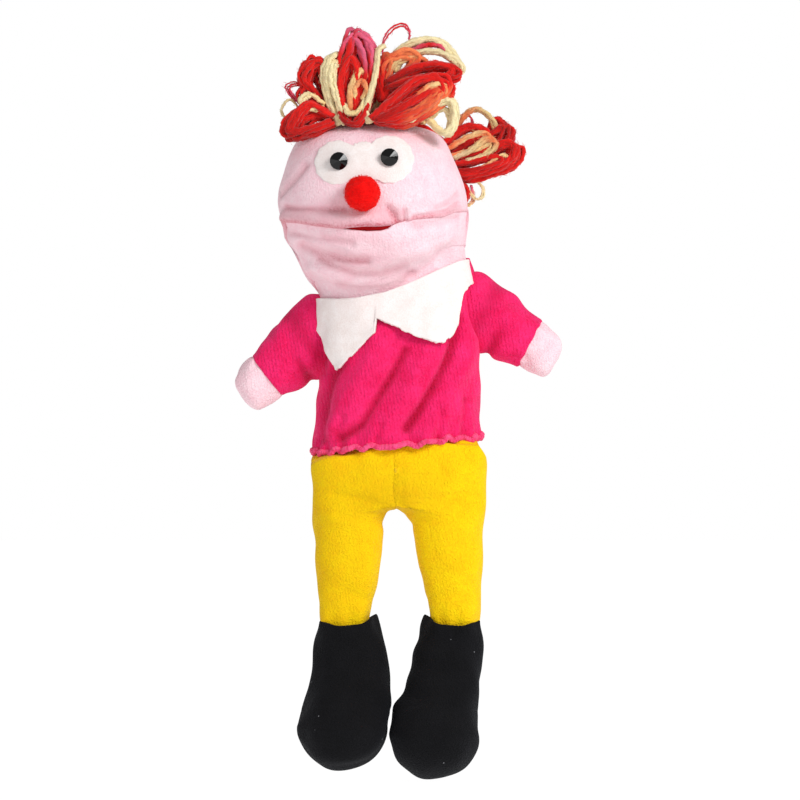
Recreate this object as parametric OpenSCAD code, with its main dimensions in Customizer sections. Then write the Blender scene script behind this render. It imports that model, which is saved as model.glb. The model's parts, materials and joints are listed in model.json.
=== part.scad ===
// Hand puppet of a boy with a moving mouth, dangling stuffed legs and looped yarn hair.
// The hand goes up through the jacket hem, behind the trousers, and works the head and jaw.
// Frame: +Z up, the face looks along -Y, origin at the centre of the hand opening in the hem.

/* [Head] */
// Half the width of the head at its widest, over the cheeks
head_half_w = 52.5; // [48:0.5:60]
// Half the depth of the head, from front to back
head_half_d = 48; // [44:0.5:54]
// Height of the crown of the head above the mouth
crown_h = 59; // [52:1:70]
// Sideways place of the middle of the head: it sits off to its own right
head_x = -15.5; // [-18:0.5:-8]
// Thickness of the velour skin of the head
skin_t = 2; // [1.5:0.1:2.5]
// Height of the closed mouth above the middle of the neckline
mouth_h = 29.3; // [28.5:0.1:32]
// Thickness of each stiff mouth board
board_t = 2.4; // [1.5:0.1:3]
// Thickness of the red felt lining of the mouth
lining_t = 1; // [0.8:0.1:1.4]
// How deep the thumb pocket in the jaw is, from top to bottom
thumb_pocket_h = 11.5; // [9:0.5:12]
// Height of the finger pocket over the upper board
finger_pocket_h = 21; // [17:0.5:24]

/* [Face] */
// Diameter of the glued gem eyes
eye_d = 10; // [8:0.5:12]
// Distance between the two eyes
eye_gap = 28.2; // [24:0.2:32]
// Height of the eyes above the mouth
eye_h = 38.2; // [34:0.2:41]
// Diameter of the felted pompom nose
nose_d = 20; // [16:0.5:24]
// Height of the nose above the mouth
nose_h = 19.4; // [16:0.2:22]
// Thickness of the white felt eye patch
patch_t = 1.6; // [1:0.1:2.4]
// Radius of each lobe of the eye patch
patch_r = 13.2; // [11:0.2:15]

/* [Jacket] */
// Half the width of the jacket at its hem
jacket_half_w = 48.5; // [46:0.5:54]
// Half the depth of the jacket, from front to back
jacket_half_d = 32.5; // [31:0.5:37]
// Thickness of the velour of the jacket with its seams
jacket_t = 3; // [2:0.1:3.5]
// Height of the middle of the neckline above the hem
neck_z = 91.5; // [89:0.5:92]
// How far the neck leans to the side, in degrees
neck_lean = 14.5; // [8:0.5:16]
// How far the hem leans to the side, in degrees
hem_lean = 5.5; // [0:0.5:6]
// Height of the rolled hem edging
edging_h = 3.4; // [2:0.1:3.6]
// Thickness of the felt collar
collar_t = 2.3; // [1.5:0.1:3]

/* [Arms] */
// Radius of the stuffed sleeve where it meets the jacket
sleeve_r = 19.5; // [17:0.5:20]
// Half the width of the sleeve at its end
cuff_r = 14.2; // [12:0.2:16]
// How far the end of the sleeve reaches beyond its stuffed shoulder
sleeve_out = 2.5; // [0.5:0.5:6.5]
// Length of the mitten hand beyond the sleeve
hand_l = 19; // [15:0.5:24]

/* [Legs] */
// Half the width of the trousers over the hips
hip_half_w = 49.4; // [46:0.2:52]
// Half the depth of the trousers
hip_half_d = 13.5; // [12:0.5:15]
// Distance from the hem down to the hip joints
hip_drop = 37; // [35:0.5:44]
// Length of each leg from its hip joint to its ankle
leg_l = 64; // [54:0.5:76]
// Height of each boot below its ankle, on the puppet's right
boot_h = 82; // [72:0.5:92]
// How much lower the boot on the puppet's left hangs
boot_step = 5; // [0:0.5:8]

/* [Hair] */
// Length of the tallest bunch of yarn loops
hair_l = 48; // [40:1:56]
// Radius of a bunch of yarn loops
bunch_r = 6.5; // [5:0.1:7]

/* [Hidden] */
gap = 0.3;                    // clearance between moving pieces
shy = 0.1;                    // clearance between sewn or glued neighbours
skin_c = "#f6c9d6";
felt_c = "#f4efee";
magenta_c = "#f0206a";
yellow_c = "#ffd500";
black_c = "#17171c";
red_c = "#d40a0a";
cream_c = "#f3dfa0";
orange_c = "#f09050";
card_c = "#b8a88c";
foam_c = "#e9e2c8";
fibre_c = "#f2f2ee";
elastic_c = "#d8d0cc";
edging_c = "#ff6aa5";

mouth_z = neck_z + mouth_h;   // height of the closed mouth above the hem
neck_x = -5;                  // middle of the neck
jaw_y = -2;                   // axis of the mouth hinge
jaw_back = jaw_y - 1.5;       // back edge of the boards
leg_y = -20;                  // the legs hang in front of the wrist
hip_z = -hip_drop;
ankle_z = hip_z - leg_l;
ankle_r = 10.5;               // rounded end of the leg inside the boot
arm_half_d = 14.5;            // half the depth of the sleeve at its root
sleeve_l = sleeve_r + sleeve_out;              // from the pivot to the end of the sleeve
armhole_r = sleeve_r + 2.7;   // room for the sleeve to swing
armhole_in = 10.2;            // the pivot lies this far outside the jacket's side
arm_z = [neck_z - 39.5, neck_z - 24.5];        // heights of the two shoulder pivots
arm_x = [-(jacket_half_w - 1.7 + armhole_in), jacket_half_w - 4.7 + armhole_in];
arm_dip = [38, 29];           // how far each arm hangs below level, in degrees
head_y = -10;                 // middle of the head, from front to back
crown_z = mouth_z + crown_h;
far = 90;                     // half the side of the blocks that cut pieces apart

// ---- lofts -------------------------------------------------------------------------------

function signed_pow(v, e) = (v < 0 ? -1 : 1) * pow(abs(v), e);

// One ring of n points: centre c, half axes u and v, squareness p (2 is an ellipse)
function ring(c, u, v, p, n) = [for (i = [0:n - 1]) let (a = 360 * (i + 0.5) / n)
    c + u * signed_pow(cos(a), 2 / p) + v * signed_pow(sin(a), 2 / p)];

// A closed solid through rings [centre, half axis u, half axis v]; u x v points along the loft
module loft(rings, p = 2, n = 20) {
    m = len(rings);
    pts = [for (s = rings) each ring(s[0], s[1], s[2], p, n)];
    sides = [for (k = [0:m - 2], i = [0:n - 1]) let (j = (i + 1) % n, b = k * n, t = b + n)
        each [[b + i, t + i, t + j], [b + i, t + j, b + j]]];
    first = [for (i = [0:n - 1]) i];
    last = [for (i = [n - 1:-1:0]) (m - 1) * n + i];
    polyhedron(pts, concat([first, last], sides));
}

// Level rings from rows [z, middle x, middle y, half width, half depth], grown by off
function level(rows, off = 0) = [for (r = rows)
    [[r[1], r[2], r[0]], [max(r[3] + off, 1), 0, 0], [0, max(r[4] + off, 1), 0]]];

// Rings along a line in the XZ plane from foot, dip degrees below level, side -1 or 1.
// Rows are [distance, half width across, half depth].
function limb(foot, dip, side, rows, off = 0) = let (
    along = [side * cos(dip), 0, -sin(dip)],
    across = [side * sin(dip), 0, cos(dip)])
    [for (r = rows) [foot + along * r[0], [0, side * (r[2] + off), 0], across * (r[1] + off)]];

// Everything below a level that leans about a point on the neck's line
module below(z, x = 0, lean = 0) {
    translate([x, 0, z]) rotate([0, -lean, 0]) translate([-2 * far, -2 * far, -4 * far]) cube(4 * far);
}

module box(lo, hi) {
    translate(lo) cube(hi - lo);
}

// ---- head --------------------------------------------------------------------------------

head_rows = [
    [mouth_z - 40, -4, 0, head_half_w - 11, head_half_d - 16],
    [mouth_z - 24, -7.5, -4, head_half_w - 5.7, head_half_d - 8],
    [mouth_z - 12, -10.8, -8, head_half_w - 3.7, head_half_d - 2],
    [mouth_z, head_x + 2, head_y, head_half_w - 1, head_half_d],
    [mouth_z + 11, head_x + 0.8, head_y, head_half_w, head_half_d],
    [mouth_z + 22, head_x, head_y, head_half_w, head_half_d],
    [mouth_z + crown_h * 0.55, head_x - 0.5, head_y + 1, head_half_w - 3.5, head_half_d - 2],
    [mouth_z + crown_h * 0.72, head_x - 0.5, head_y + 2, head_half_w - 9.5, head_half_d - 5],
    [mouth_z + crown_h * 0.86, head_x - 0.5, head_y + 3, head_half_w - 19, head_half_d - 12],
    [crown_z - 3, head_x - 0.5, head_y + 4, head_half_w - 32, head_half_d - 24],
    [crown_z, head_x - 0.5, head_y + 4, 7, 9]];

module head_solid(off = 0) {
    loft(level([for (r = head_rows) r[0] > crown_z - 4 ? [r[0] + off, r[1], r[2], r[3], r[4]] : r], off),
        p = 2.3, n = 28);
}

// Front surface of the head at a height, on the head's middle line
function head_front(z) = lookup(z, [for (r = head_rows) [r[0], r[2] - r[4]]]);

// How far the front surface falls back, away from the middle line
function fall_back(x, z) = let (hw = lookup(z, [for (r = head_rows) [r[0], r[3]]]),
    hd = lookup(z, [for (r = head_rows) [r[0], r[4]]]), cx = lookup(z, [for (r = head_rows) [r[0], r[1]]]))
    hd * (1 - pow(1 - pow(min(abs(x - cx) / hw, 0.99), 2.3), 1 / 2.3));

upper_z = mouth_z + shy + lining_t + shy;      // underside of the upper board
lower_z = mouth_z - shy - lining_t - shy;      // top of the lower board
head_split_y = -2;                             // seam between face and back of the head
nape_y = 3;                                    // the back skin's front edges beside the hand
head_hem = neck_z + 4;                         // lower edge of the head's back skin

module head_shell() {
    difference() {
        head_solid();
        head_solid(-skin_t);
        below(head_hem, neck_x, neck_lean);
    }
}

module face_cover() {
    color(skin_c) intersection() {
        head_shell();
        box([-far, -far, upper_z], [far, head_split_y, crown_z + 20]);
    }
}

module head_back_cover() {
    color(skin_c) difference() {
        head_shell();
        box([-far, -far, upper_z - 60], [far, nape_y, upper_z]);
        box([-far, -far, upper_z - 1], [far, head_split_y, crown_z + 20]);
    }
}

finger_w = head_half_w * 1.36;                 // width of the finger pocket
finger_front = head_y - head_half_d + 12;      // how far forward the fingers reach
foam_z = upper_z + board_t + shy;

module head_foam() {
    color(foam_c) difference() {
        head_solid(-skin_t - shy);
        below(foam_z);
        box([head_x - finger_w / 2, finger_front, foam_z - 60],
            [head_x + finger_w / 2, head_y + head_half_d - 10, foam_z + finger_pocket_h]);
    }
}

// A level slice of the head's outline in front of the mouth hinge
module mouth_slice(z, t, inset) {
    intersection() {
        head_solid(-inset);
        box([-far, -far, z], [far, jaw_back, z + t]);
    }
}

module mouth_board_upper() {
    color(card_c) mouth_slice(upper_z, board_t, skin_t + shy);
}

module mouth_lining_upper() {
    color(red_c) mouth_slice(mouth_z + shy, lining_t, gap);
}

module mouth_hinge_tape() {
    color(red_c) translate([head_x - 34, jaw_y, mouth_z]) rotate([0, 90, 0])
        cylinder(h = 68, r = 1.3, $fn = 24);
}

eye_mid_x = head_x - 3.9;
eye_z = mouth_z + eye_h;

module eye_patch() {
    color(felt_c) intersection() {
        difference() {
            head_solid(shy + patch_t);
            head_solid(shy);
        }
        translate([eye_mid_x, 0, eye_z - 0.5]) rotate([90, 0, 0]) linear_extrude(far) union() {
            for (s = [-1, 1]) translate([s * eye_gap / 2, 0]) circle(patch_r, $fn = 40);
            translate([-eye_gap / 2, -patch_r]) square([eye_gap, 2 * patch_r - 2.5]);
        }
    }
}

// A faceted gem's envelope: low drum with a domed front
module eye(s) {
    x = eye_mid_x + s * eye_gap / 2;
    seat = head_front(eye_z - eye_d / 2) + fall_back(x, eye_z) - patch_t - 1.2;
    color(black_c) translate([x, seat, eye_z]) rotate([90, 0, 0]) {
        cylinder(h = eye_d * 0.16, r = eye_d / 2, $fn = 40);
        translate([0, 0, eye_d * 0.16])
            cylinder(h = eye_d * 0.22, r1 = eye_d / 2, r2 = eye_d * 0.3, $fn = 40);
    }
}

nose_seat = 1.6;                               // flat of the nose where it is glued
module nose() {
    z = mouth_z + nose_h;
    x = eye_mid_x - 1;
    y = head_front(z) - patch_t - 0.5;
    color(red_c) translate([x, y - nose_d / 2 + nose_seat, z]) rotate([90, 0, 0])
        rotate_extrude($fn = 48) intersection() {
            circle(nose_d / 2, $fn = 48);
            translate([0, nose_seat - nose_d / 2]) square(nose_d);
        }
}

// ---- hair --------------------------------------------------------------------------------

part_z = crown_z + 3;

// The tape that the yarn loops are sewn to, laid over the crown from front to back
module hair_tape() {
    color(red_c) box([head_x - 4, head_y - 22, crown_z + shy], [head_x + 3, head_y + 26, crown_z + 2]);
}

// A bent bunch: a list of points, and the radius at each as a share of r
module bunch(pts, shares, r, flat = 1, n = 10) {
    m = len(pts);
    loft([for (i = [0:m - 1]) let (
        d = pts[min(i + 1, m - 1)] - pts[max(i - 1, 0)],
        t = d / norm(d),
        side = abs(t[1]) > 0.8 ? [1, 0, 0] : [0, 1, 0],
        u = cross(side, t), un = u / norm(u), v = cross(t, un))
        [pts[i], un * r * shares[i], v * r * shares[i] * flat]], n = n);
}

// The fan of loops at the front: [root, middle, tip] of each bunch from the parting
fan_y = head_y - 20;
fringe_out = 19;              // the last bunch hangs this far in front of the others
fan = [
    [[-12, part_z - 1], [-30, part_z - 2], [-46, part_z - 4]],
    [[-9, part_z + 9], [-20, part_z + 19], [-32, part_z + 27]],
    [[-1, part_z + 9], [-4, part_z + 26], [-7, part_z + hair_l]],
    [[6.5, part_z + 9], [14, part_z + 23], [22, part_z + 34]],
    [[13, part_z + 3], [30, part_z + 13], [46, part_z + 23]],
    [[11, part_z - 9], [27, part_z - 2], [42, part_z - 7]]];

module hair_bunch(i) {
    f = fan[i];
    color(i % 2 == 0 ? red_c : cream_c)
        bunch([for (q = f) [head_x + q[0], i == 5 ? fan_y - fringe_out : fan_y, q[1]]], [0.5, 1, 0.75],
            bunch_r, 0.95);
}

module hair_bunch_1() { hair_bunch(0); }
module hair_bunch_2() { hair_bunch(1); }
module hair_bunch_3() { hair_bunch(2); }
module hair_bunch_4() { hair_bunch(3); }
module hair_bunch_5() { hair_bunch(4); }
module hair_bunch_6() { hair_bunch(5); }

// Loops heaped behind the fan, on the crown
module hair_crown() {
    color(orange_c) loft(level([
        [crown_z + 2.1, head_x, head_y + 8, 20, 16],
        [crown_z + 8, head_x, head_y + 8, 28, 19],
        [crown_z + 18, head_x, head_y + 8, 26, 18],
        [crown_z + 25, head_x, head_y + 8, 14, 10]]), n = 20);
}

side_x = head_x + head_half_w;
module hair_side_upper() {
    color(red_c) bunch([[side_x - 2, head_y + 30, mouth_z + 43], [side_x + 12, head_y + 28, mouth_z + 47],
        [side_x + 26, head_y + 24, mouth_z + 40]], [0.7, 1.2, 0.8], bunch_r, 1);
}

module hair_side_lower() {
    color(orange_c) bunch([[side_x + 3, head_y + 33, mouth_z + 26], [side_x + 16, head_y + 30, mouth_z + 24],
        [side_x + 27, head_y + 26, mouth_z + 15]], [0.7, 1.2, 0.8], bunch_r, 1);
}

// Loops that fall over the back of the head
module hair_back() {
    y = head_y + head_half_d;
    color(red_c) loft(level([
        [mouth_z + 8, head_x, y + 6, 24, 4],
        [mouth_z + 16, head_x, y + 8, 36, 6],
        [mouth_z + 36, head_x, y + 7, 38, 6],
        [mouth_z + 50, head_x, y + 4, 28, 6]]), n = 20);
}

// ---- jaw ---------------------------------------------------------------------------------

bulge_half_w = 24;             // half the width of the deeper middle of the jaw
thumb_w = 40;                 // width of the hollow for the thumb
thumb_door = 16;              // half the width of the opening behind it

// Outline of the thin front of the jaw, seen from the side, with its floor raised by t
function jaw_side(t) = [[jaw_back, lower_z + 6], [-far, lower_z + 6], [-far, mouth_z - 24.3 + t],
    [-44, mouth_z - 11.5 + t], [-20, lower_z - board_t - 3.4 + t], [jaw_back, lower_z - board_t - 2.4 + t]];

// Outline of the deeper middle that holds the thumb
function bulge_side(t) = let (floor = lower_z - board_t - thumb_pocket_h - skin_t) [
    [jaw_back, lower_z + 6], [-44 + t, lower_z + 6], [-44 + t, mouth_z - 11.5 + t],
    [-35, floor + t], [-12, floor + t], [jaw_back, floor + 8 + t]];

module side_prism(outline, half_w) {
    translate([head_x - half_w, 0, 0]) rotate([90, 0, 90]) linear_extrude(2 * half_w) polygon(outline);
}

module jaw_solid(t) {
    intersection() {
        head_solid(-t);
        union() {
            side_prism(jaw_side(t), far);
            side_prism(bulge_side(t), bulge_half_w - t);
        }
        box([-far, -far, 0], [far, jaw_back, lower_z]);
    }
}

module jaw_cover() {
    color(skin_c) difference() {
        jaw_solid(0);
        translate([0, 0, 0.01]) jaw_solid(skin_t);
        box([head_x - thumb_door, -14, mouth_z - 25], [head_x + thumb_door, jaw_back + 1, lower_z - board_t]);
    }
}

module jaw_foam() {
    color(foam_c) difference() {
        jaw_solid(skin_t + shy);
        box([-far, -far, lower_z - board_t - shy], [far, 20, lower_z + 9]);
        box([head_x - thumb_w / 2, -42, mouth_z - 30], [head_x + thumb_w / 2, 20, lower_z]);
    }
}

module mouth_board_lower() {
    color(card_c) mouth_slice(lower_z - board_t, board_t, skin_t + shy);
}

module mouth_lining_lower() {
    color(red_c) mouth_slice(mouth_z - shy - lining_t, lining_t, gap);
}

// ---- neck --------------------------------------------------------------------------------

// Everything on the neck is level in a frame that leans with it
module on_neck() {
    translate([neck_x, 0, neck_z]) rotate([0, -neck_lean, 0]) children();
}

neck_half_w = jacket_half_w - 13;
neck_half_d = jacket_half_d - jacket_t - 2.6;

elastic_out = 3;              // the elastic lies this far inside the neck's cloth
elastic_t = 2.4;
elastic_h = [-10, -4];        // heights of its edges below the neckline

module neck_elastic() {
    w = neck_half_w - elastic_out;
    d = neck_half_d - elastic_out - 1.5;
    color(elastic_c) on_neck() difference() {
        loft(level([for (z = elastic_h) [z, 2, 0.8, w, d]]), n = 28);
        loft(level([for (z = elastic_h + [-1, 1]) [z, 2, 0.8, w - elastic_t, d - elastic_t]]), n = 28);
    }
}

neck_rows = [
    [-9, 2, 0, neck_half_w, neck_half_d],
    [0, 1, -1, neck_half_w, neck_half_d],
    [7, -3, -4, neck_half_w + 0.5, neck_half_d + 3]];

module neck_cover() {
    color(skin_c) on_neck() difference() {
        loft(level(neck_rows), n = 28);
        loft(level([for (i = [0:2]) neck_rows[i] + [i - 1, 0, 0, 0, 0]], -1.2), n = 28);
    }
}

// ---- jacket ------------------------------------------------------------------------------

jacket_rows = [
    [-12, 0, 0, jacket_half_w, jacket_half_d],
    [8, -0.6, 0, jacket_half_w - 0.6, jacket_half_d],
    [30, 0.5, 0, jacket_half_w - 1.8, jacket_half_d - 0.5],
    [neck_z - 40, 0, 0, jacket_half_w - 2, jacket_half_d - 0.5],
    [neck_z - 25, -1, 0, jacket_half_w - 2.5, jacket_half_d - 1],
    [neck_z - 11, -2, 0, jacket_half_w - 4.5, jacket_half_d - 1.4],
    [neck_z + 2, -3, 0, jacket_half_w - 6, jacket_half_d - 1.4],
    [neck_z + 24, -3, 0, jacket_half_w - 6, jacket_half_d - 1.4]];

module jacket_solid(off = 0) {
    loft(level([for (i = [0:len(jacket_rows) - 1]) jacket_rows[i]
        + [i == 0 ? min(off, 0) : i == 7 ? -min(off, 0) : 0, 0, 0, 0, 0]], off), p = 2.5, n = 28);
}

front_dip = 9;                // the neckline falls away from the neck's middle, in degrees
back_dip = 15;

// Room above the slanting neckline, which dips at the front and at the back
module over_neckline() {
    on_neck() translate([-2 * far, 0, 0]) rotate([90, 0, 90]) linear_extrude(4 * far)
        polygon([[0, 0], [-far, -far * tan(front_dip)], [-far, far], [far, far],
            [far, -far * tan(back_dip)]]);
}

module armholes(grow = 0) {
    for (i = [0, 1]) translate([arm_x[i], arm_half_d + 1 + grow, arm_z[i]]) rotate([90, 0, 0])
        cylinder(h = 2 * (arm_half_d + 1 + grow), r = armhole_r + grow, $fn = 64);
}

module jacket_shell() {
    difference() {
        jacket_solid();
        jacket_solid(-jacket_t);
        over_neckline();
        below(0, 0, hem_lean);
        armholes();
    }
}

module jacket_front() {
    color(magenta_c) intersection() {
        jacket_shell();
        box([-far, -far, -20], [far, 0, 200]);
    }
}

module jacket_back() {
    color(magenta_c) intersection() {
        jacket_shell();
        box([-far, 0, -20], [far, far, 200]);
    }
}

// Serged, rolled edge round the hem
module hem_edging() {
    color(edging_c) rotate([0, -hem_lean, 0]) difference() {
        loft(level([[-edging_h, 0, 0, jacket_half_w + 1, jacket_half_d + 1],
            [-shy, 0, 0, jacket_half_w, jacket_half_d]]), p = 2.5, n = 28);
        loft(level([[-edging_h - 1, 0, 0, jacket_half_w - 2.4, jacket_half_d - 2.4],
            [1, 0, 0, jacket_half_w - 2.4, jacket_half_d - 2.4]]), p = 2.5, n = 28);
    }
}

// Pointed front of the collar, as cut: the notch is left of the middle
collar_cut = [[-52, 6], [-52, -14], [-44, -26], [-36, -50.5], [-22.5, -37], [-12, -26], [-14, -21.5],
    [6.7, -30], [18, -34.5], [25.3, -34.8], [29.8, -30.8], [33.7, -18.5], [40, -8], [52, 0], [52, 30]];
collar_back_h = 24;

module collar() {
    color(felt_c) difference() {
        intersection() {
            difference() {
                jacket_solid(shy + collar_t);
                jacket_solid(shy);
            }
            union() {
                translate([0, 0, neck_z]) rotate([90, 0, 0]) linear_extrude(far) polygon(collar_cut);
                on_neck() box([-far, 0, -collar_back_h], [far, far, 20]);
            }
        }
        translate([0, 0, -1]) over_neckline();
        armholes(0.6);
    }
}

// ---- arms --------------------------------------------------------------------------------

sleeve_rows = [[0, sleeve_r - 0.6, arm_half_d - 1], [sleeve_l * 0.55, cuff_r + 2.2, arm_half_d - 1],
    [sleeve_l, cuff_r, arm_half_d - 2.4]];

// Half of the drum that turns in the armhole, with the tapering sleeve
module sleeve_solid(i, off) {
    side = 2 * i - 1;
    foot = [arm_x[i], 0, arm_z[i]];
    end = [for (r = sleeve_rows) r[0] == sleeve_l ? [r[0] + min(off, 0), r[1], r[2]] : r];
    union() {
        translate(foot + [0, arm_half_d + off, 0]) rotate([90, 0, 0])
            cylinder(h = 2 * (arm_half_d + off), r = sleeve_r + off, $fn = 48);
        loft(limb(foot, arm_dip[i], side, end, off), p = 2.4, n = 20);
    }
}

sleeve_t = 1.6;
module sleeve(i) {
    color(magenta_c) difference() {
        sleeve_solid(i, 0);
        sleeve_solid(i, -sleeve_t);
    }
}

module arm_stuffing(i) {
    color(fibre_c) sleeve_solid(i, -sleeve_t - shy);
}

module hand(i) {
    color(skin_c) loft(limb([arm_x[i], 0, arm_z[i]], arm_dip[i], 2 * i - 1, [
        [sleeve_l + shy, cuff_r - 1.5, arm_half_d - 3.6],
        [sleeve_l + hand_l * 0.4, cuff_r + 0.4, arm_half_d - 2.8],
        [sleeve_l + hand_l * 0.75, cuff_r - 2, arm_half_d - 4.2],
        [sleeve_l + hand_l, cuff_r - 8, arm_half_d - 9]]), p = 2.3, n = 20);
}

module sleeve_left() { sleeve(0); }
module sleeve_right() { sleeve(1); }
module arm_stuffing_left() { arm_stuffing(0); }
module arm_stuffing_right() { arm_stuffing(1); }
module hand_left() { hand(0); }
module hand_right() { hand(1); }

// ---- trousers ----------------------------------------------------------------------------

seat_top = -11;               // the stuffed seat starts under the edging
swing_front = 42;             // legs swing this far forward, in degrees, with room to spare
swing_back = 22;
trouser_t = 1.6;

// Room round an axis along X for a drum of radius r and what swings below it, or above it
module swing_room(y, z, r, front, back, up = 1) {
    reach = 60;
    translate([-far, y, z]) rotate([90, 0, 90]) linear_extrude(2 * far) union() {
        circle(r, $fn = 64);
        polygon([[0, 0], [-reach * cos(front), up * reach * sin(front)], [-reach, -up * reach],
            [reach, -up * reach], [reach * cos(back), up * reach * sin(back)]]);
    }
}

seat_rows = [
    [hip_z - 4, 0, leg_y, hip_half_w - 1, hip_half_d],
    [seat_top - 12, 0, leg_y, hip_half_w, hip_half_d],
    [seat_top - 5, 0, leg_y, hip_half_w - 0.4, hip_half_d - 0.5],
    [seat_top, 0, leg_y, hip_half_w - 5, hip_half_d - 2.5]];

module seat_solid(off) {
    difference() {
        loft(level([for (r = seat_rows) r[0] == seat_top ? r + [off, 0, 0, 0, 0] : r], off), p = 2.5, n = 24);
        swing_room(leg_y, hip_z, hip_half_d + gap - off, swing_front, swing_back);
    }
}

waist_y = -(jacket_half_d - jacket_t - 2.4);   // the seat hangs from a tab behind the front hem
tab_half_w = 16;
tab_t = 2.6;

module trouser_seat() {
    color(yellow_c) union() {
        difference() {
            seat_solid(0);
            seat_solid(-trouser_t);
        }
        box([-tab_half_w, waist_y, seat_top - 0.6], [tab_half_w, waist_y + tab_t, 2]);
    }
}

module seat_stuffing() {
    color(fibre_c) seat_solid(-trouser_t - shy);
}

hip_inner = 0.8;              // the two legs start this far from the middle
leg_mid = [(-hip_half_w + 0.9 - hip_inner) / 2, (hip_half_w - 1 + hip_inner) / 2];
leg_half_w = (hip_half_w - 1 - hip_inner) / 2;
shank_x = [-29, 29.8];        // the legs spread towards the boots
cuff_x = [-30.5, 31.5];

function leg_rows(i) = [
    [ankle_z, cuff_x[i], leg_y, 13.5, ankle_r - 0.2],
    [ankle_z + 9, cuff_x[i], leg_y, 14.3, ankle_r],
    [ankle_z + leg_l * 0.38, shank_x[i], leg_y, 17, hip_half_d - 2],
    [hip_z - leg_l * 0.26, shank_x[i] * 0.95, leg_y, leg_half_w - 4, hip_half_d - 1],
    [hip_z, leg_mid[i], leg_y, leg_half_w, hip_half_d - 0.1]];

// A leg with a half drum at the hip and a smaller one at the ankle
module leg_solid(i, off) {
    union() {
        loft(level(leg_rows(i), off), p = 2.5, n = 20);
        translate([leg_mid[i] - leg_half_w - off, leg_y, hip_z]) rotate([0, 90, 0])
            cylinder(h = 2 * (leg_half_w + off), r = hip_half_d + off, $fn = 48);
        translate([cuff_x[i] - 13 - off, leg_y, ankle_z]) rotate([0, 90, 0])
            cylinder(h = 2 * (13 + off), r = ankle_r + off, $fn = 48);
    }
}

module trouser_leg(i) {
    color(yellow_c) difference() {
        leg_solid(i, 0);
        leg_solid(i, -trouser_t);
    }
}

module leg_stuffing(i) {
    color(fibre_c) leg_solid(i, -trouser_t - shy);
}

module trouser_leg_left() { trouser_leg(0); }
module trouser_leg_right() { trouser_leg(1); }
module leg_stuffing_left() { leg_stuffing(0); }
module leg_stuffing_right() { leg_stuffing(1); }

// ---- boots -------------------------------------------------------------------------------

boot_t = 2;
ankle_swing = 22;
boot_low = [boot_h, boot_h + boot_step];
toe_x = [-31.6, 20];          // the feet lean towards each other's side
toe_half_w = [25.6, 24.6];

// Rows from the sole up
function boot_rows(i) = let (h = boot_low[i], a = ankle_z) [
    [a - h, toe_x[i], leg_y - 8, toe_half_w[i] - 15, 13],
    [a - h + 4, toe_x[i], leg_y - 8, toe_half_w[i] - 7, 20],
    [a - h + 13, toe_x[i], leg_y - 9, toe_half_w[i] - 1.6, 25],
    [a - h + 23, toe_x[i], leg_y - 9, toe_half_w[i], 26],
    [a - h + 35, toe_x[i] + i * 1.5, leg_y - 7, toe_half_w[i] - 1.3, 24],
    [a - h * 0.45, (toe_x[i] + cuff_x[i]) / 2 + 1.5 - i, leg_y - 2, 21.5, 17.5],
    [a - 21, cuff_x[i] + 3 - 6.5 * i, leg_y, 20.4, 15],
    [a - 9, cuff_x[i] + 2.5 - 5.5 * i, leg_y, 18.6, 14.5],
    [a + 1, cuff_x[i] + 2 - 5 * i, leg_y, 17.8, 14.2]];

module boot_solid(i, off) {
    rows = boot_rows(i);
    difference() {
        loft(level([for (k = [0:8]) rows[k] + [k == 0 ? -off : 0, 0, 0, 0, 0]], off), p = 2.2, n = 24);
        swing_room(leg_y, ankle_z, ankle_r + gap - off, ankle_swing, ankle_swing, -1);
    }
}

module boot(i) {
    color(black_c) difference() {
        boot_solid(i, 0);
        boot_solid(i, -boot_t);
    }
}

module boot_stuffing(i) {
    color(fibre_c) boot_solid(i, -boot_t - shy);
}

module boot_left() { boot(0); }
module boot_right() { boot(1); }
module boot_stuffing_left() { boot_stuffing(0); }
module boot_stuffing_right() { boot_stuffing(1); }

// ---- the object --------------------------------------------------------------------------

module eye_left() { eye(-1); }
module eye_right() { eye(1); }

face_cover();
head_back_cover();
head_foam();
mouth_board_upper();
mouth_lining_upper();
mouth_hinge_tape();
eye_patch();
eye_left();
eye_right();
nose();
hair_tape();
hair_bunch_1();
hair_bunch_2();
hair_bunch_3();
hair_bunch_4();
hair_bunch_5();
hair_bunch_6();
hair_crown();
hair_side_upper();
hair_side_lower();
hair_back();
jaw_cover();
jaw_foam();
mouth_board_lower();
mouth_lining_lower();
neck_elastic();
neck_cover();
jacket_front();
jacket_back();
hem_edging();
collar();
sleeve_left();
arm_stuffing_left();
hand_left();
sleeve_right();
arm_stuffing_right();
hand_right();
trouser_seat();
seat_stuffing();
trouser_leg_left();
leg_stuffing_left();
trouser_leg_right();
leg_stuffing_right();
boot_left();
boot_stuffing_left();
boot_right();
boot_stuffing_right();
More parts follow.
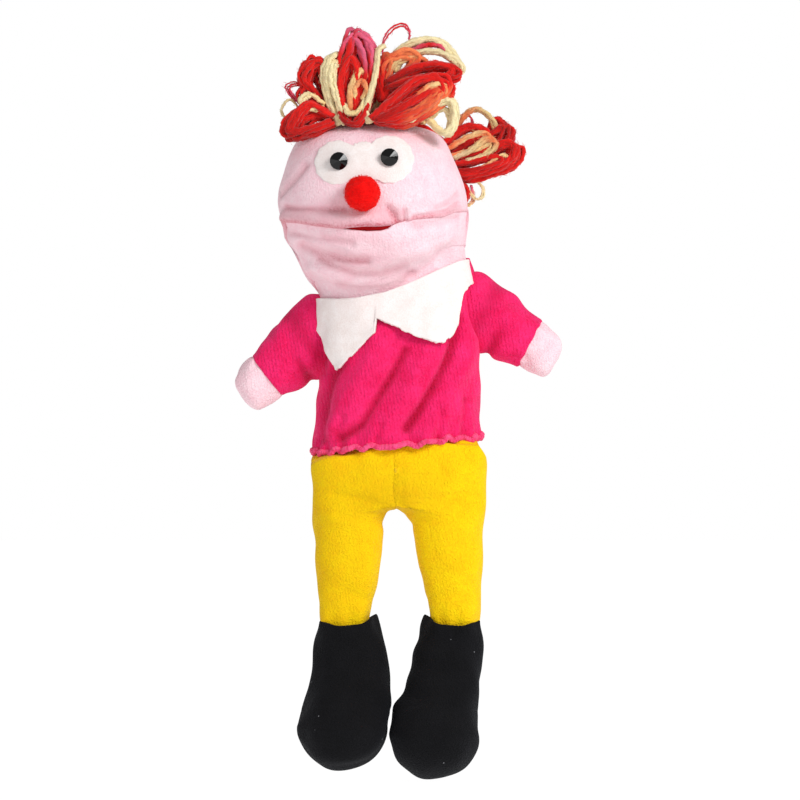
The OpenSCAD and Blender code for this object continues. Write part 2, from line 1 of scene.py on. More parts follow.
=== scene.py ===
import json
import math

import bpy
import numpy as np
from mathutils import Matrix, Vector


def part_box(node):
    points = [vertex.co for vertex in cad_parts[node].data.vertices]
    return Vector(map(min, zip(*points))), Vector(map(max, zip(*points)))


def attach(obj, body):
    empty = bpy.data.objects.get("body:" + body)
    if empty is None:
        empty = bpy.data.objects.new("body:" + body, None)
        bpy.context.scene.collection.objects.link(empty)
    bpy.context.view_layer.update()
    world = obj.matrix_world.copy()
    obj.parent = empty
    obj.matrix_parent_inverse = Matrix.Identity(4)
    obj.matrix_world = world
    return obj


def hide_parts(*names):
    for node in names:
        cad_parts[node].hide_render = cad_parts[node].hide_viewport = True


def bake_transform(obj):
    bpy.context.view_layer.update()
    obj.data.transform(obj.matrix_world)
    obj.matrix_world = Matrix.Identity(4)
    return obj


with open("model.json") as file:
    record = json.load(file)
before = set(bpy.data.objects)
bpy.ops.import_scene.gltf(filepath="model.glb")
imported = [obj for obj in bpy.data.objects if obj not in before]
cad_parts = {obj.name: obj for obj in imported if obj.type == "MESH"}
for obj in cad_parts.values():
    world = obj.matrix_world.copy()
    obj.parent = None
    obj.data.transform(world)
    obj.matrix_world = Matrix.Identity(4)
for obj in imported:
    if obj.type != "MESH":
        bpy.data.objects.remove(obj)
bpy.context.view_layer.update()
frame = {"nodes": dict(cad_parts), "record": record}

# %% [markdown]
# # A cloth hand puppet
#
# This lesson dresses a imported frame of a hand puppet: a boy with a wide moving mouth, looped yarn
# hair, a velour jacket and stuffed legs that dangle in front of the puppeteer's wrist.
# Lengths in this file are in millimetres, because that is how a sewing pattern is drawn, and one
# function turns them to metres when a mesh is made.

scene = bpy.context.scene
MM = 0.001


def low(node):
    """The lowest corner of a frame node, in millimetres."""
    return np.array(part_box(node)[0]) / MM


def high(node):
    """The highest corner of a frame node, in millimetres."""
    return np.array(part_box(node)[1]) / MM


pivots = {j["name"]: np.array(j["pos_m"]) / MM for j in frame["record"]["behaviour"]["joints"]}
neck = pivots["head_turn"]
print("joints:", len(pivots), "neck pivot, mm:", neck.round(1).tolist())

# %% [markdown]
# ## Helpers for shapes
#
# Almost every part of a puppet is a skin of cloth over filling, so almost every piece here is a
# grid of points: one parameter runs round the piece and the other runs along it. Modelling by hand
# would also work, but a grid makes it easy to press folds and seams into the cloth with formulas.

# %% Smooth rows
def spline(table, n):
    """n rows through the rows of a table: each stretch is a Catmull-Rom cubic, whose slope at a row is
    half the difference of its neighbours."""
    t = np.asarray(table, float)
    p = np.vstack([2 * t[0] - t[1], t, 2 * t[-1] - t[-2]])
    s = np.linspace(0, len(t) - 1, n)
    k = np.minimum(s.astype(int), len(t) - 2)
    f = (s - k)[:, None]
    a, b, c, d = p[k], p[k + 1], p[k + 2], p[k + 3]
    return b + 0.5 * f * (c - a + f * (2 * a - 5 * b + 4 * c - d + f * (3 * (b - c) + d - a)))


def grid_rows(table, n, at):
    """The spline of a table, read at given values of its first column."""
    rows = spline(table, n)
    order = np.argsort(rows[:, 0])
    return [np.interp(at, rows[order, 0], rows[order, i]) for i in range(1, rows.shape[1])]


# %% Rounded outlines and meshes
def around(angle, squareness):
    """Cosine and sine bent towards a rounded square: each is raised to 2 / squareness, sign kept."""
    c, s = np.cos(angle), np.sin(angle)
    e = 2 / squareness
    return np.sign(c) * np.abs(c) ** e, np.sign(s) * np.abs(s) ** e


def make_mesh(name, points, groups, smooth=True):
    """A mesh object at the origin, from points in millimetres and groups of faces. The faces in one
    group have the same number of corners."""
    mesh = bpy.data.meshes.new(name)
    mesh.vertices.add(len(points))
    mesh.vertices.foreach_set("co", (np.asarray(points, float) * MM).ravel())
    corners = np.concatenate([np.asarray(g).ravel() for g in groups])
    sizes = np.concatenate([np.full(len(g), np.shape(g)[1]) for g in groups])
    mesh.loops.add(len(corners))
    mesh.loops.foreach_set("vertex_index", corners)
    mesh.polygons.add(len(sizes))
    mesh.polygons.foreach_set("loop_start", np.concatenate([[0], np.cumsum(sizes)[:-1]]))
    mesh.polygons.foreach_set("use_smooth", np.full(len(sizes), smooth))
    mesh.update(calc_edges=True)
    mesh.validate()
    obj = bpy.data.objects.new(name, mesh)
    scene.collection.objects.link(obj)
    return obj


def grid_faces(rows, cols, closed=True):
    """Quads between neighbouring rows and columns, which wrap round if closed. With rows that climb
    and columns that turn anticlockwise they face outwards."""
    r, c = np.meshgrid(np.arange(rows - 1), np.arange(cols if closed else cols - 1), indexing="ij")
    nxt = (c + 1) % cols
    corners = [r * cols + c, r * cols + nxt, (r + 1) * cols + nxt, (r + 1) * cols + c]
    return np.stack(corners, -1).reshape(-1, 4)


def skin(name, grid, closed=True, ends=(True, True)):
    """A mesh from a grid of points (rows, columns, 3). A closed end is a fan of triangles from its last
    row to that row's middle, so no pole is open."""
    rows, cols, _ = grid.shape
    points = grid.reshape(-1, 3)
    faces = grid_faces(rows, cols, closed)
    column = np.arange(cols)
    after = (column + 1) % cols
    extra, middles = [], []
    for end, row in ((0, 0), (1, rows - 1)):
        if ends[end]:
            middle = np.full(cols, len(points) + len(middles))
            middles.append(grid[row].mean(0))
            a, b = row * cols + column, row * cols + after
            extra.append(np.stack([b, a, middle] if row == 0 else [a, b, middle], -1))
    if middles:
        points = np.concatenate([points, middles])
    return make_mesh(name, points, [faces] + extra)


# %% [markdown]
# ## Folds
#
# A fold in cloth is a long soft ridge or groove. Each one here is a line between points on the
# front of the piece, and the cloth moves in or out by a bell curve of its distance from that line.

# %% Fold formula
def ridge(x, z, line, width, height):
    """Height times a bell curve of the distance in the front view from (x, z) to a line of points."""
    nearest = np.full(np.shape(x), 1e9)
    for (x0, z0), (x1, z1) in zip(line[:-1], line[1:]):
        dx, dz = x1 - x0, z1 - z0
        t = np.clip(((x - x0) * dx + (z - z0) * dz) / (dx * dx + dz * dz), 0, 1)
        nearest = np.minimum(nearest, (x - x0 - t * dx) ** 2 + (z - z0 - t * dz) ** 2)
    return height * np.exp(-nearest / (width * width))


def rumple(x, y, z, size, height, seed):
    """A gentle uneven swell: the sum of a dozen sine waves in seeded directions, about size long."""
    rng = np.random.default_rng(seed)
    total = np.zeros(np.shape(x))
    for _ in range(12):
        d = rng.normal(size=3)
        d *= 2 * np.pi / (size * rng.uniform(0.7, 1.6) * np.linalg.norm(d))
        total = total + np.sin(x * d[0] + y * d[1] + z * d[2] + rng.uniform(0, 6.3))
    return total * height / 3.5


def outward(grid):
    """Unit normals of a closed grid: the cross product of its two directions."""
    du = np.roll(grid, -1, 1) - np.roll(grid, 1, 1)
    dv = np.gradient(grid, axis=0)
    n = np.cross(du, dv)
    return n / np.maximum(np.linalg.norm(n, axis=-1, keepdims=True), 1e-9)


# %% [markdown]
# ## Helpers for finishes
#
# Every cloth here is a shader built from nodes: a colour that varies a little, a bump for the
# pile or the weave, and a sheen, which is what makes cloth look soft at its edges.

# %% Colour and node helpers
def paint(hex_colour):
    """A linear colour from an sRGB hex value: each channel is divided by 12.92 when it is very dark,
    and otherwise is ((c + 0.055) / 1.055) to the power 2.4."""
    c = np.array([int(hex_colour[i:i + 2], 16) for i in (1, 3, 5)]) / 255
    return (*np.where(c < 0.04045, c / 12.92, ((c + 0.055) / 1.055) ** 2.4).tolist(), 1.0)


def add(tree, kind, links=(), **settings):
    """Adds a node, sets its sockets and properties by name, and links its inputs from other sockets."""
    node = tree.nodes.new(kind)
    for key, value in settings.items():
        name = key.replace("_", " ")
        if name in node.inputs:
            node.inputs[name].default_value = value
        else:
            setattr(node, key, value)
    for socket, source in links:
        tree.links.new(source, node.inputs[socket])
    return node


def blend_colours(tree, amount, first, second):
    """The colour between a socket's colour and a fixed one, by the amount from another socket."""
    mix = add(tree, "ShaderNodeMix", data_type="RGBA")
    tree.links.new(amount, mix.inputs[0])
    tree.links.new(first, mix.inputs[6])
    mix.inputs[7].default_value = second
    return mix.outputs[2]


def cloth(name, colour, shade, rough=0.85, sheen=0.3, sheen_tint="#ffffff", pile=0.9, pile_bump=0.25,
          patch=14.0, rib=None, rib_bump=0.35, contrast=0.5, deep=None, lint=None):
    """A cloth finish. pile is the size in millimetres of the finest bumps, patch that of the broad
    uneven colour, and rib the spacing of the knit's wales, if any. deep is the colour of painted shade,
    mixed in where the attribute "fold" is set, as in creases, and lint the spacing of pale specks."""
    mat = bpy.data.materials.new(name)
    mat.use_nodes = True
    tree = mat.node_tree
    shader = tree.nodes["Principled BSDF"]
    shader.inputs["Roughness"].default_value = rough
    shader.inputs["Sheen Weight"].default_value = sheen
    shader.inputs["Sheen Roughness"].default_value = 0.45
    shader.inputs["Sheen Tint"].default_value = paint(sheen_tint)
    shader.inputs["Specular IOR Level"].default_value = 0.15
    place = add(tree, "ShaderNodeTexCoord")
    broad = add(tree, "ShaderNodeTexNoise", [("Vector", place.outputs["Object"])],
                Scale=1000 / patch, Detail=3.0, Roughness=0.6)
    fine = add(tree, "ShaderNodeTexNoise", [("Vector", place.outputs["Object"])],
               Scale=1000 / pile, Detail=2.0, Roughness=0.7)
    both = add(tree, "ShaderNodeMath", [(0, broad.outputs["Fac"]), (1, fine.outputs["Fac"])], operation="ADD")
    half = add(tree, "ShaderNodeMapRange", [("Value", both.outputs[0])])
    half.inputs["From Min"].default_value = 1 - 0.5 * contrast
    half.inputs["From Max"].default_value = 1 + 0.5 * contrast
    mix = add(tree, "ShaderNodeMix", data_type="RGBA")
    tree.links.new(half.outputs[0], mix.inputs[0])
    mix.inputs[6].default_value = paint(shade)
    mix.inputs[7].default_value = paint(colour)
    colour_out = mix.outputs[2]
    # Painted shade: where the attribute "fold" is set, the colour is mixed towards deep, broken up by the
    # fine pile noise.
    if deep:
        fold = add(tree, "ShaderNodeAttribute", attribute_name="fold")
        speckled_shade = add(tree, "ShaderNodeMath", [(0, fold.outputs["Fac"]), (1, fine.outputs["Fac"])],
                     operation="MULTIPLY")
        amount = add(tree, "ShaderNodeMapRange", [("Value", speckled_shade.outputs[0])])
        amount.inputs["From Max"].default_value = 0.62
        colour_out = blend_colours(tree, amount.outputs[0], colour_out, paint(deep))
    if lint:
        specks = add(tree, "ShaderNodeTexVoronoi", [("Vector", place.outputs["Object"])], Scale=1000 / lint)
        near = add(tree, "ShaderNodeMapRange", [("Value", specks.outputs["Distance"])])
        near.inputs["From Min"].default_value = 0.05
        near.inputs["From Max"].default_value = 0.025
        near.inputs["To Max"].default_value = 0.4
        colour_out = blend_colours(tree, near.outputs[0], colour_out, paint("#d8d8de"))
    tree.links.new(colour_out, shader.inputs["Base Color"])
    bump = add(tree, "ShaderNodeBump", [("Height", fine.outputs["Fac"])], Strength=pile_bump,
               Distance=pile * MM)
    if rib:
        turn = add(tree, "ShaderNodeMapping", [("Vector", place.outputs["Object"])])
        turn.inputs["Rotation"].default_value = (0, math.radians(8), 0)
        lines = add(tree, "ShaderNodeTexWave", [("Vector", turn.outputs["Vector"])], wave_type="BANDS",
                    bands_direction="X", Scale=1000 / rib / 6.283 * 2, Distortion=3.0, Detail=2.0)
        lines.inputs["Detail Scale"].default_value = 2.0
        bump = add(tree, "ShaderNodeBump", [("Height", lines.outputs["Fac"]),
                                            ("Normal", bump.outputs["Normal"])],
                   Strength=rib_bump, Distance=rib * 0.3 * MM)
    tree.links.new(bump.outputs["Normal"], shader.inputs["Normal"])
    return mat


# %% [markdown]
# ## The cloths of this puppet
#
# Velour is knitted with a short cut pile, so it looks deep in its folds and pale at its edges; the depth in
# the folds is painted shade here.
# Fleece is brushed until its loops stand up. Felt is matted wool with no weave at all. The piles
# are drawn coarser than real ones so that they show.

# %% Finishes
# The deep colours below are painted shade, mixed in where the attribute "fold" is set.
skin_velour = cloth("pale pink velour", "#ffe3ea", "#f9c8d4", sheen=0.3, sheen_tint="#fff0f2", pile=1.3,
                    pile_bump=0.7, patch=8, rib=1.5, rib_bump=0.12, contrast=0.7, deep="#c8606e")
jacket_velour = cloth("magenta velour", "#ff2d78", "#e80a50", sheen=0.45, sheen_tint="#ff7fb8", pile=1.2,
                      pile_bump=0.9, patch=9, rib=2.0, rib_bump=0.4, contrast=0.7, deep="#b0002c")
edging_thread = cloth("serged magenta thread", "#ff5c92", "#e02a60", sheen=0.2, pile=0.6, pile_bump=0.5,
                      patch=3)
trouser_fleece = cloth("yellow brushed fleece", "#ffdd00", "#f8be00", sheen=0.15, sheen_tint="#fff3b0",
                       pile=1.4, pile_bump=0.8, patch=10, rib=1.7, rib_bump=0.12, contrast=0.9,
                       deep="#c08a00")
boot_velour = cloth("black velour", "#0f0f12", "#060608", sheen=0.07, sheen_tint="#8a8fa0", pile=1.1,
                    pile_bump=1.0, patch=12, contrast=0.7, lint=10.0)
white_felt = cloth("white wool felt", "#f6efed", "#ece0dc", sheen=0.1, pile=0.8, pile_bump=0.35, patch=6)
red_felt = cloth("red wool felt", "#c41018", "#9c0a10", sheen=0.1, pile=0.8, pile_bump=0.3, patch=6)
pompom_wool = cloth("red felted pompom wool", "#fb0a08", "#e00404", sheen=0.2, sheen_tint="#ff8070", pile=1.0,
                    pile_bump=0.6, patch=4)
bare_board = cloth("grey board", "#b9a98c", "#a49373", sheen=0.0, pile=0.5, pile_bump=0.1, patch=20)
cut_foam = cloth("red open cell foam", "#b8141a", "#960c12", sheen=0.0, pile=0.9, pile_bump=0.6, patch=15)
white_elastic = cloth("woven elastic", "#ece6dc", "#d8d0c2", sheen=0.1, pile=0.6, pile_bump=0.3, patch=5,
                      rib=1.2)


# %% Yarn and gem
def yarn_finish():
    """Dyed yarn: its colour is the attribute "dye" on the mesh, the dye with painted shade between
    the plies, broken by fine dark fibres.
    """
    mat = bpy.data.materials.new("variegated spun yarn")
    mat.use_nodes = True
    tree = mat.node_tree
    shader = tree.nodes["Principled BSDF"]
    shader.inputs["Roughness"].default_value = 0.8
    shader.inputs["Sheen Weight"].default_value = 0.25
    shader.inputs["Specular IOR Level"].default_value = 0.15
    dye = add(tree, "ShaderNodeVertexColor", layer_name="dye")
    place = add(tree, "ShaderNodeTexCoord")
    fibres = add(tree, "ShaderNodeTexNoise", [("Vector", place.outputs["Object"])], Scale=1400.0, Detail=2.0)
    dark = add(tree, "ShaderNodeMapRange", [("Value", fibres.outputs["Fac"])])
    dark.inputs["To Min"].default_value = 0.62
    dark.inputs["To Max"].default_value = 1.12
    mixed = add(tree, "ShaderNodeVectorMath", [(0, dye.outputs["Color"]), (1, dark.outputs[0])],
                operation="MULTIPLY")
    tree.links.new(mixed.outputs[0], shader.inputs["Base Color"])
    bump = add(tree, "ShaderNodeBump", [("Height", fibres.outputs["Fac"])], Strength=0.5, Distance=0.0006)
    tree.links.new(bump.outputs["Normal"], shader.inputs["Normal"])
    return mat


def gem_finish():
    """Black acrylic with polished facets: nearly a mirror at grazing angles."""
    mat = bpy.data.materials.new("polished black acrylic")
    mat.use_nodes = True
    tree = mat.node_tree
    shader = tree.nodes["Principled BSDF"]
    place = add(tree, "ShaderNodeTexCoord")
    haze = add(tree, "ShaderNodeTexNoise", [("Vector", place.outputs["Object"])], Scale=300.0, Detail=2.0)
    rough = add(tree, "ShaderNodeMapRange", [("Value", haze.outputs["Fac"])])
    rough.inputs["To Min"].default_value = 0.03
    rough.inputs["To Max"].default_value = 0.09
    tree.links.new(rough.outputs[0], shader.inputs["Roughness"])
    shader.inputs["Base Color"].default_value = paint("#040405")
    shader.inputs["Specular IOR Level"].default_value = 0.35
    return mat


spun_yarn = yarn_finish()
black_acrylic = gem_finish()


def paint_shade(obj, depth):
    """Writes the attribute "fold", the amount of painted shade, from a grid that runs from 0 on open cloth
    to 1 where the painted shade is deepest, as in a crease. Corners that the grid doesn't have stay at 0."""
    values = np.zeros(len(obj.data.vertices))
    flat = np.clip(depth, 0, 1).ravel()
    values[:len(flat)] = flat
    obj.data.attributes.new("fold", "FLOAT", "POINT").data.foreach_set("value", values.astype(np.float32))
    return obj


def dress(obj, mat, slot, body=None, *nodes):
    """Gives a piece its finish, the body it rides on and the frame nodes it stands for; slot is not used."""
    obj.data.materials.append(mat)
    if body:
        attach(obj, body)
    if nodes:
        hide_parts(*nodes)
    print("made", obj.name, len(obj.data.polygons), "faces")
    return obj

# %% [markdown]
# ## The head
#
# The head is two shells of velour over foam: the upper one runs over the crown and down the back to
# the neck, and stops in front at the upper lip. A person would sew it from a face panel and a back
# panel. Here it is one grid that turns round the head and climbs from its lower edge to the crown,
# and the lower edge is rolled inwards in front to make the soft lip.

# %% Head outline
head_table = [  # height, left, right, front, back
    [78, -44, 36, -34, 31], [86, -48.6, 38.5, -40, 33], [97, -54.5, 38.8, -48, 36],
    [107, -58.8, 38.2, -53.5, 38], [115, -64.0, 38.2, -57.5, 38.5], [124, -65.6, 38.6, -59.8, 38.5],
    [133, -68.2, 38.6, -59.8, 38.5], [142, -68.2, 37.6, -58, 38], [153, -65.0, 34, -55.5, 36.5],
    [163, -61.6, 30, -50.5, 33.5], [170, -58, 26.5, -44.5, 29.5], [175, -52, 21.5, -37, 24],
    [178.5, -42, 12, -28, 17], [180.4, -28, -2, -18, 8], [180.8, -17, -14, -14, 1]]


def head_shell(angle, z, grow=0.0, squareness=2.35):
    """Points on the head at given angles and heights: a rounded square whose four sides follow the
    outline's table, pushed out by grow."""
    left, right, front, back = grid_rows(head_table, 400, z)
    c, s = around(angle, squareness)
    x = (left + right) / 2 + c * ((right - left) / 2 + grow)
    y = (front + back) / 2 + s * ((back - front) / 2 + grow)
    return np.stack([x, y, z], -1)


upper_lip = [[-70, 127], [-59, 125.1], [-46, 122.2], [-32, 120.5], [-28, 121.1], [-20, 121.7], [-10, 121.6],
             [-3.6, 122.2], [5.4, 124.4], [16, 125.8], [24, 126.6], [31, 129.6], [45, 131.5]]
lower_lip = [[-70, 126.6], [-59, 124.3], [-46, 121.2], [-32, 119.5], [-26, 118.6], [-18, 118.0], [-10, 118.3],
             [-6, 119.3], [-3.6, 121.1], [5.4, 124.2], [16, 125.6], [24, 126.4], [31, 129.4], [45, 131.3]]


def curve(table, x):
    """The height of a line across the front, read at x along straight stretches between its points."""
    t = np.asarray(table, float)
    return np.interp(x, t[:, 0], t[:, 1])


def neckline(x, lift=0.0):
    """Height of the line where the head's cloth meets the collar, which leans to the side."""
    return neck[2] + lift + math.tan(math.radians(14.5)) * (x - neck[0])


def smoothstep(v, a, b):
    """0 before a, 1 after b, and a smooth S between them."""
    t = np.clip((v - a) / (b - a), 0, 1)
    return t * t * (3 - 2 * t)


# %% Where the head enters the collar
collar_top = [[-50, 81.5], [-45.7, 81.7], [-35, 81.2], [-25, 81.7], [-8, 84.8], [5.4, 89.3], [23.3, 96.5],
              [37.6, 101.9], [46, 104]]
jacket_table = [  # height, left, right, front, back
    [-14, -48.8, 48.5, -33, 33], [-3, -49, 48.2, -33, 33], [8, -48.6, 47, -32.5, 32.5],
    [30, -46.5, 46.5, -32, 32], [48, -46.5, 46.2, -32, 32], [62, -46.6, 45.5, -31.5, 31.5],
    [76, -46.0, 43.5, -31, 31], [90, -45.5, 41.5, -30.5, 30.5], [104, -45, 38.6, -30.5, 30.5],
    [120, -44, 37, -30.5, 30.5]]


def jacket_shell(angle, z, grow=0.0):
    """Points on the jacket at given angles and heights, pushed out by grow."""
    left, right, front, back = grid_rows(jacket_table, 300, z)
    c, s = around(angle, 2.45)
    x = (left + right) / 2 + c * ((right - left) / 2 + grow)
    y = (front + back) / 2 + s * ((back - front) / 2 + grow)
    return np.stack([x, y, z], -1)


def neck_edge(x, y):
    """Height of the collar's top edge: the front line in front, and the leaning neckline behind."""
    behind = smoothstep(y, -14, 6)
    return (1 - behind) * curve(collar_top, x) + behind * neckline(x, -2.0)


def tuck(grid, reach=15.0):
    """Draws the skin in towards the collar over the last stretch above it, so that the head hangs over
    the collar and goes down inside it."""
    x, y, z = grid[..., 0], grid[..., 1], grid[..., 2]
    above = z - neck_edge(x, y)
    w = smoothstep(above, reach, 0.5)[..., None]
    a = np.arctan2(y / 31, (x + 3) / 43)
    inner = jacket_shell(np.arctan2(np.sign(np.sin(a)) * np.abs(np.sin(a)) ** 1.22,
                                    np.sign(np.cos(a)) * np.abs(np.cos(a)) ** 1.22), z, grow=-0.4)
    return grid * (1 - w) + inner * w



# %% Upper head
seam = 10.0  # the neck's cloth is sewn on this far above the collar
crown_z = 180.7  # the highest row of the head


def upper_head():
    """Rows climb from the lower edge to the crown. The lower edge is the lip in front, and drops to the
    neck's seam behind the corners of the mouth."""
    cols, rows = 260, 130
    angle = np.linspace(0, 2 * np.pi, cols, endpoint=False)
    level = head_shell(angle, np.full(cols, 124.0))
    behind = smoothstep(level[:, 1], -26, -17)
    neckline = neck_edge(level[:, 0], level[:, 1]) + seam
    edge = (1 - behind) * curve(upper_lip, level[:, 0]) + behind * neckline
    t = np.linspace(0, 1, rows)[:, None]
    z = edge[None] + (crown_z - edge[None]) * (1 - (1 - t) ** 1.5)
    grid = tuck(head_shell(np.broadcast_to(angle, (rows, cols)), z))
    n = outward(grid)
    x, y, zz = grid[..., 0], grid[..., 1], grid[..., 2]
    face = smoothstep(-y, 5, 30)
    swell = 0.5 + ridge(x, zz, [(-62, 128), (-46, 125.6), (-33, 124.8), (-14, 125.4)], 3.4, 2.8)
    swell += ridge(x, zz, [(4, 129), (14, 130), (24, 131.5)], 4.0, 1.6)
    creases = [([(-63, 132.2), (-56, 130.6), (-45, 129.8), (-30, 129.8)], 1.7, 2.4),
               ([(-66.5, 139.5), (-60, 146), (-52, 155)], 2.0, 1.9),
               ([(-1.0, 123.0), (-3, 127), (-6, 131)], 1.9, 3.0),
               ([(3, 124.5), (2.5, 129.5)], 1.3, 2.2),
               ([(8, 125.8), (17, 127.2), (26, 129.5), (33, 134)], 1.5, 2.4),
               ([(20, 131.5), (29, 135.5), (33, 140)], 1.5, 1.6)]
    pinch = sum(ridge(x, zz, line, width * 1.15, depth) for line, width, depth in creases)
    swell -= sum(ridge(x, zz, line, width, depth) for line, width, depth in creases)
    shadow = 0.17 * pinch + ridge(x, zz, [(-62, 127), (-46, 124), (-32, 122.4), (-12, 122.6)], 3.2, 0.45)
    shadow = shadow + ridge(x, zz, [(-36, 132), (-12, 130)], 6.0, 0.30)
    shadow = shadow + ridge(x, zz, [(-6, 124), (-1, 127)], 4.0, 0.35)
    swell += ridge(x, zz, [(-34, 133), (-22, 130.5), (-10, 131.5)], 3.0, -1.0)
    swell += rumple(x, y, zz, 26, 0.5, 3)
    roll = 1.5 * np.exp(-((zz - edge[None]) / 3.6) ** 2) * (1 - behind)[None]
    grid = grid + n * (np.maximum(swell, -2.0) * face + roll)[..., None]
    # The first rows turn under, round the lip.
    turn = np.linspace(1, 0, 9)[:, None, None]
    inward = -n[:1] * np.array([1, 1, 0.0])
    first = grid[:1] + inward * 7.0 * turn ** 1.2 + np.array([0, 0, 1.0]) * 2.0 * turn ** 2
    first[..., 2] -= 1.2 * np.sin(turn[..., 0] * np.pi)
    obj = skin("head_skin", np.concatenate([first, grid[1:]]), ends=(False, True))
    # Painted shade: darker in the creases, across the band above the upper lip and along the lip's edge where
    # it rolls under.
    lip_edge_shade = 0.5 * np.exp(-((zz - edge[None]) / 1.2) ** 2) * (1 - behind)[None]
    depth = shadow * face + lip_edge_shade
    return paint_shade(obj, np.concatenate([np.repeat(depth[:1], 9, 0), depth[1:]]))


head_skin = dress(upper_head(), skin_velour, "skin_velour", "head", "face_cover", "head_back_cover")

# %% [markdown]
# ## The jaw
#
# The chin is a second cushion of the same velour. Its top edge rolls over the thumb's board to make
# the lower lip, and below it hangs in folds into the collar. The lip moves with the jaw and the lower
# edge stays on the head, but here the chin is one fixed piece that does not bend between them.

# %% Chin
chin_creases = [([(-60, 118), (-46, 114.5), (-26, 112)], 1.8, 1.4),
                ([(-54, 111), (-44, 106), (-30, 102.5), (-18, 101.5)], 2.3, 2.6),
                ([(-44, 103), (-36, 98.5), (-24, 95), (-10, 94.6), (4, 99)], 1.9, 2.2),
                ([(-34, 89), (-22, 87.5), (-8, 89.5), (8, 95)], 2.2, 2.0),
                ([(8, 121), (20, 123), (32, 126)], 2.2, 1.4)]


def chin_folds(x, y, z):
    """The creases under the mouth and the fold that sags towards the collar."""
    f = ridge(x, z, [(-54, 115), (-30, 112.5), (-5, 112.5), (20, 118)], 6, 1.6)
    f += ridge(x, z, [(-48, 99), (-38, 94), (-26, 90.5), (-12, 90), (2, 93)], 3.0, 2.6)
    f += ridge(x, z, [(-26, 106), (-6, 105), (14, 108)], 4.0, 1.4)
    f -= sum(ridge(x, z, line, width, depth) for line, width, depth in chin_creases)
    f += rumple(x, y, z, 22, 0.6, 8)
    return np.maximum(f, -2.1) * smoothstep(-y, 10, 24) * smoothstep(z - neck_edge(x, y), 0, 5)


def chin_shadow(x, y, z):
    """How much painted shade each point of the chin takes, from 0 to 1: in its creases, under the lower lip
    and across its middle, which faces down.
    """
    f = sum(ridge(x, z, line, width * 1.15, 0.15 * depth) for line, width, depth in chin_creases)
    f += ridge(x, z, [(-36, 104), (-8, 102)], 8.0, 0.20) + ridge(x, z, [(-40, 116), (-12, 113)], 3.0, 0.16)
    return f * smoothstep(-y, 10, 24)


def chin():
    """Rows climb from the neck's seam to the lower lip, over the front and sides only: an open sheet
    whose side edges tuck behind the cheeks."""
    cols, rows = 220, 90
    angle = np.linspace(np.pi + 0.10, 2 * np.pi - 0.10, cols)
    level = head_shell(angle, np.full(cols, 120.0))
    top = curve(lower_lip, level[:, 0])
    bottom = neck_edge(level[:, 0], level[:, 1]) + seam
    t = np.linspace(0, 1, rows)[:, None]
    z = bottom[None] + (top - bottom)[None] * t
    grid = tuck(head_shell(np.broadcast_to(angle, (rows, cols)), z, grow=-0.4), 17.0)
    n = np.cross(np.gradient(grid, axis=1), np.gradient(grid, axis=0))
    n /= np.maximum(np.linalg.norm(n, axis=-1, keepdims=True), 1e-9)
    roll = 0.9 * np.exp(-((z - top[None]) / 3.0) ** 2)
    grid = grid + n * (chin_folds(grid[..., 0], grid[..., 1], grid[..., 2]) + roll)[..., None]
    turn = np.linspace(0, 1, 9)[:, None, None]
    inward = -n[-1:] * np.array([1, 1, 0.0])
    last = grid[-1:] + inward * 7.0 * turn ** 1.2 - np.array([0, 0, 1.0]) * 1.6 * turn ** 2
    last[..., 2] += 0.9 * np.sin(turn[..., 0] * np.pi)
    obj = skin("chin_skin", np.concatenate([grid[:-1], last]), closed=False, ends=(False, False))
    return paint_shade(obj, chin_shadow(grid[:-1, :, 0], grid[:-1, :, 1], grid[:-1, :, 2]))


chin_skin = dress(chin(), skin_velour, "skin_velour", None, "jaw_cover")
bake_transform(chin_skin)


# %% Cloth between the head and the collar
def neck_cloth():
    """The band that joins the head to the collar: it starts inside the collar, swells out over its edge
    and ends under the head's lower edge, with the same folds as the chin."""
    cols, rows = 260, 44
    angle = np.linspace(0, 2 * np.pi, cols, endpoint=False)
    level = head_shell(angle, np.full(cols, 105.0))
    edge = neck_edge(level[:, 0], level[:, 1])
    t = np.linspace(-9, seam + 2.5, rows)[:, None]
    z = edge[None] + t
    shell = head_shell(np.broadcast_to(angle, (rows, cols)), z, grow=-0.5)
    grid = tuck(shell, 17.0)
    n = outward(grid)
    folds = chin_folds(grid[..., 0], grid[..., 1], grid[..., 2])
    under = 0.5 * smoothstep(t, seam - 3, seam + 1) + 1.2 * smoothstep(-t, -1, 6)
    obj = skin("neck_cloth", grid + n * (folds - under)[..., None], ends=(False, False))
    return paint_shade(obj, chin_shadow(grid[..., 0], grid[..., 1], grid[..., 2]))


neck_skin = dress(neck_cloth(), skin_velour, "skin_velour", None, "neck_cover")
lift = np.array([-0.237, -0.062, 0.968])
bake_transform(neck_skin)

# %% Lining in the mouth's corner
def lining_fold(x, y_back=6.0):
    """The red lining shows between the lips as a thin crescent: a roll of felt whose section at each x is an
    ellipse as high as the gap between the lips."""
    upper, lower = curve(upper_lip, x), curve(lower_lip, x)
    middle = (upper + lower) / 2
    tall = np.maximum((upper - lower) / 2 + 0.5, 0.3)
    front = face_front(x, middle)
    a = np.linspace(0, 2 * np.pi, 16, endpoint=False)
    y = front[:, None] + 0.9 + (1 - np.cos(a)) * y_back / 2
    z = middle[:, None] + tall[:, None] * np.sin(a)
    return np.stack([np.broadcast_to(x[:, None], y.shape), y, z], -1)


# %% [markdown]
# ## Eye patch, eyes and nose
#
# The patch is one bean of white felt glued to the forehead, with two bought gem eyes on it. The
# nose is a bought pompom, a ball of matted wool.

# %% Felt eye patch
eye_at = [(low(n) + high(n)) / 2 for n in ("eye_left", "eye_right")]
eye_at[0][2] -= 2.0  # the left eye is sewn on a little lower


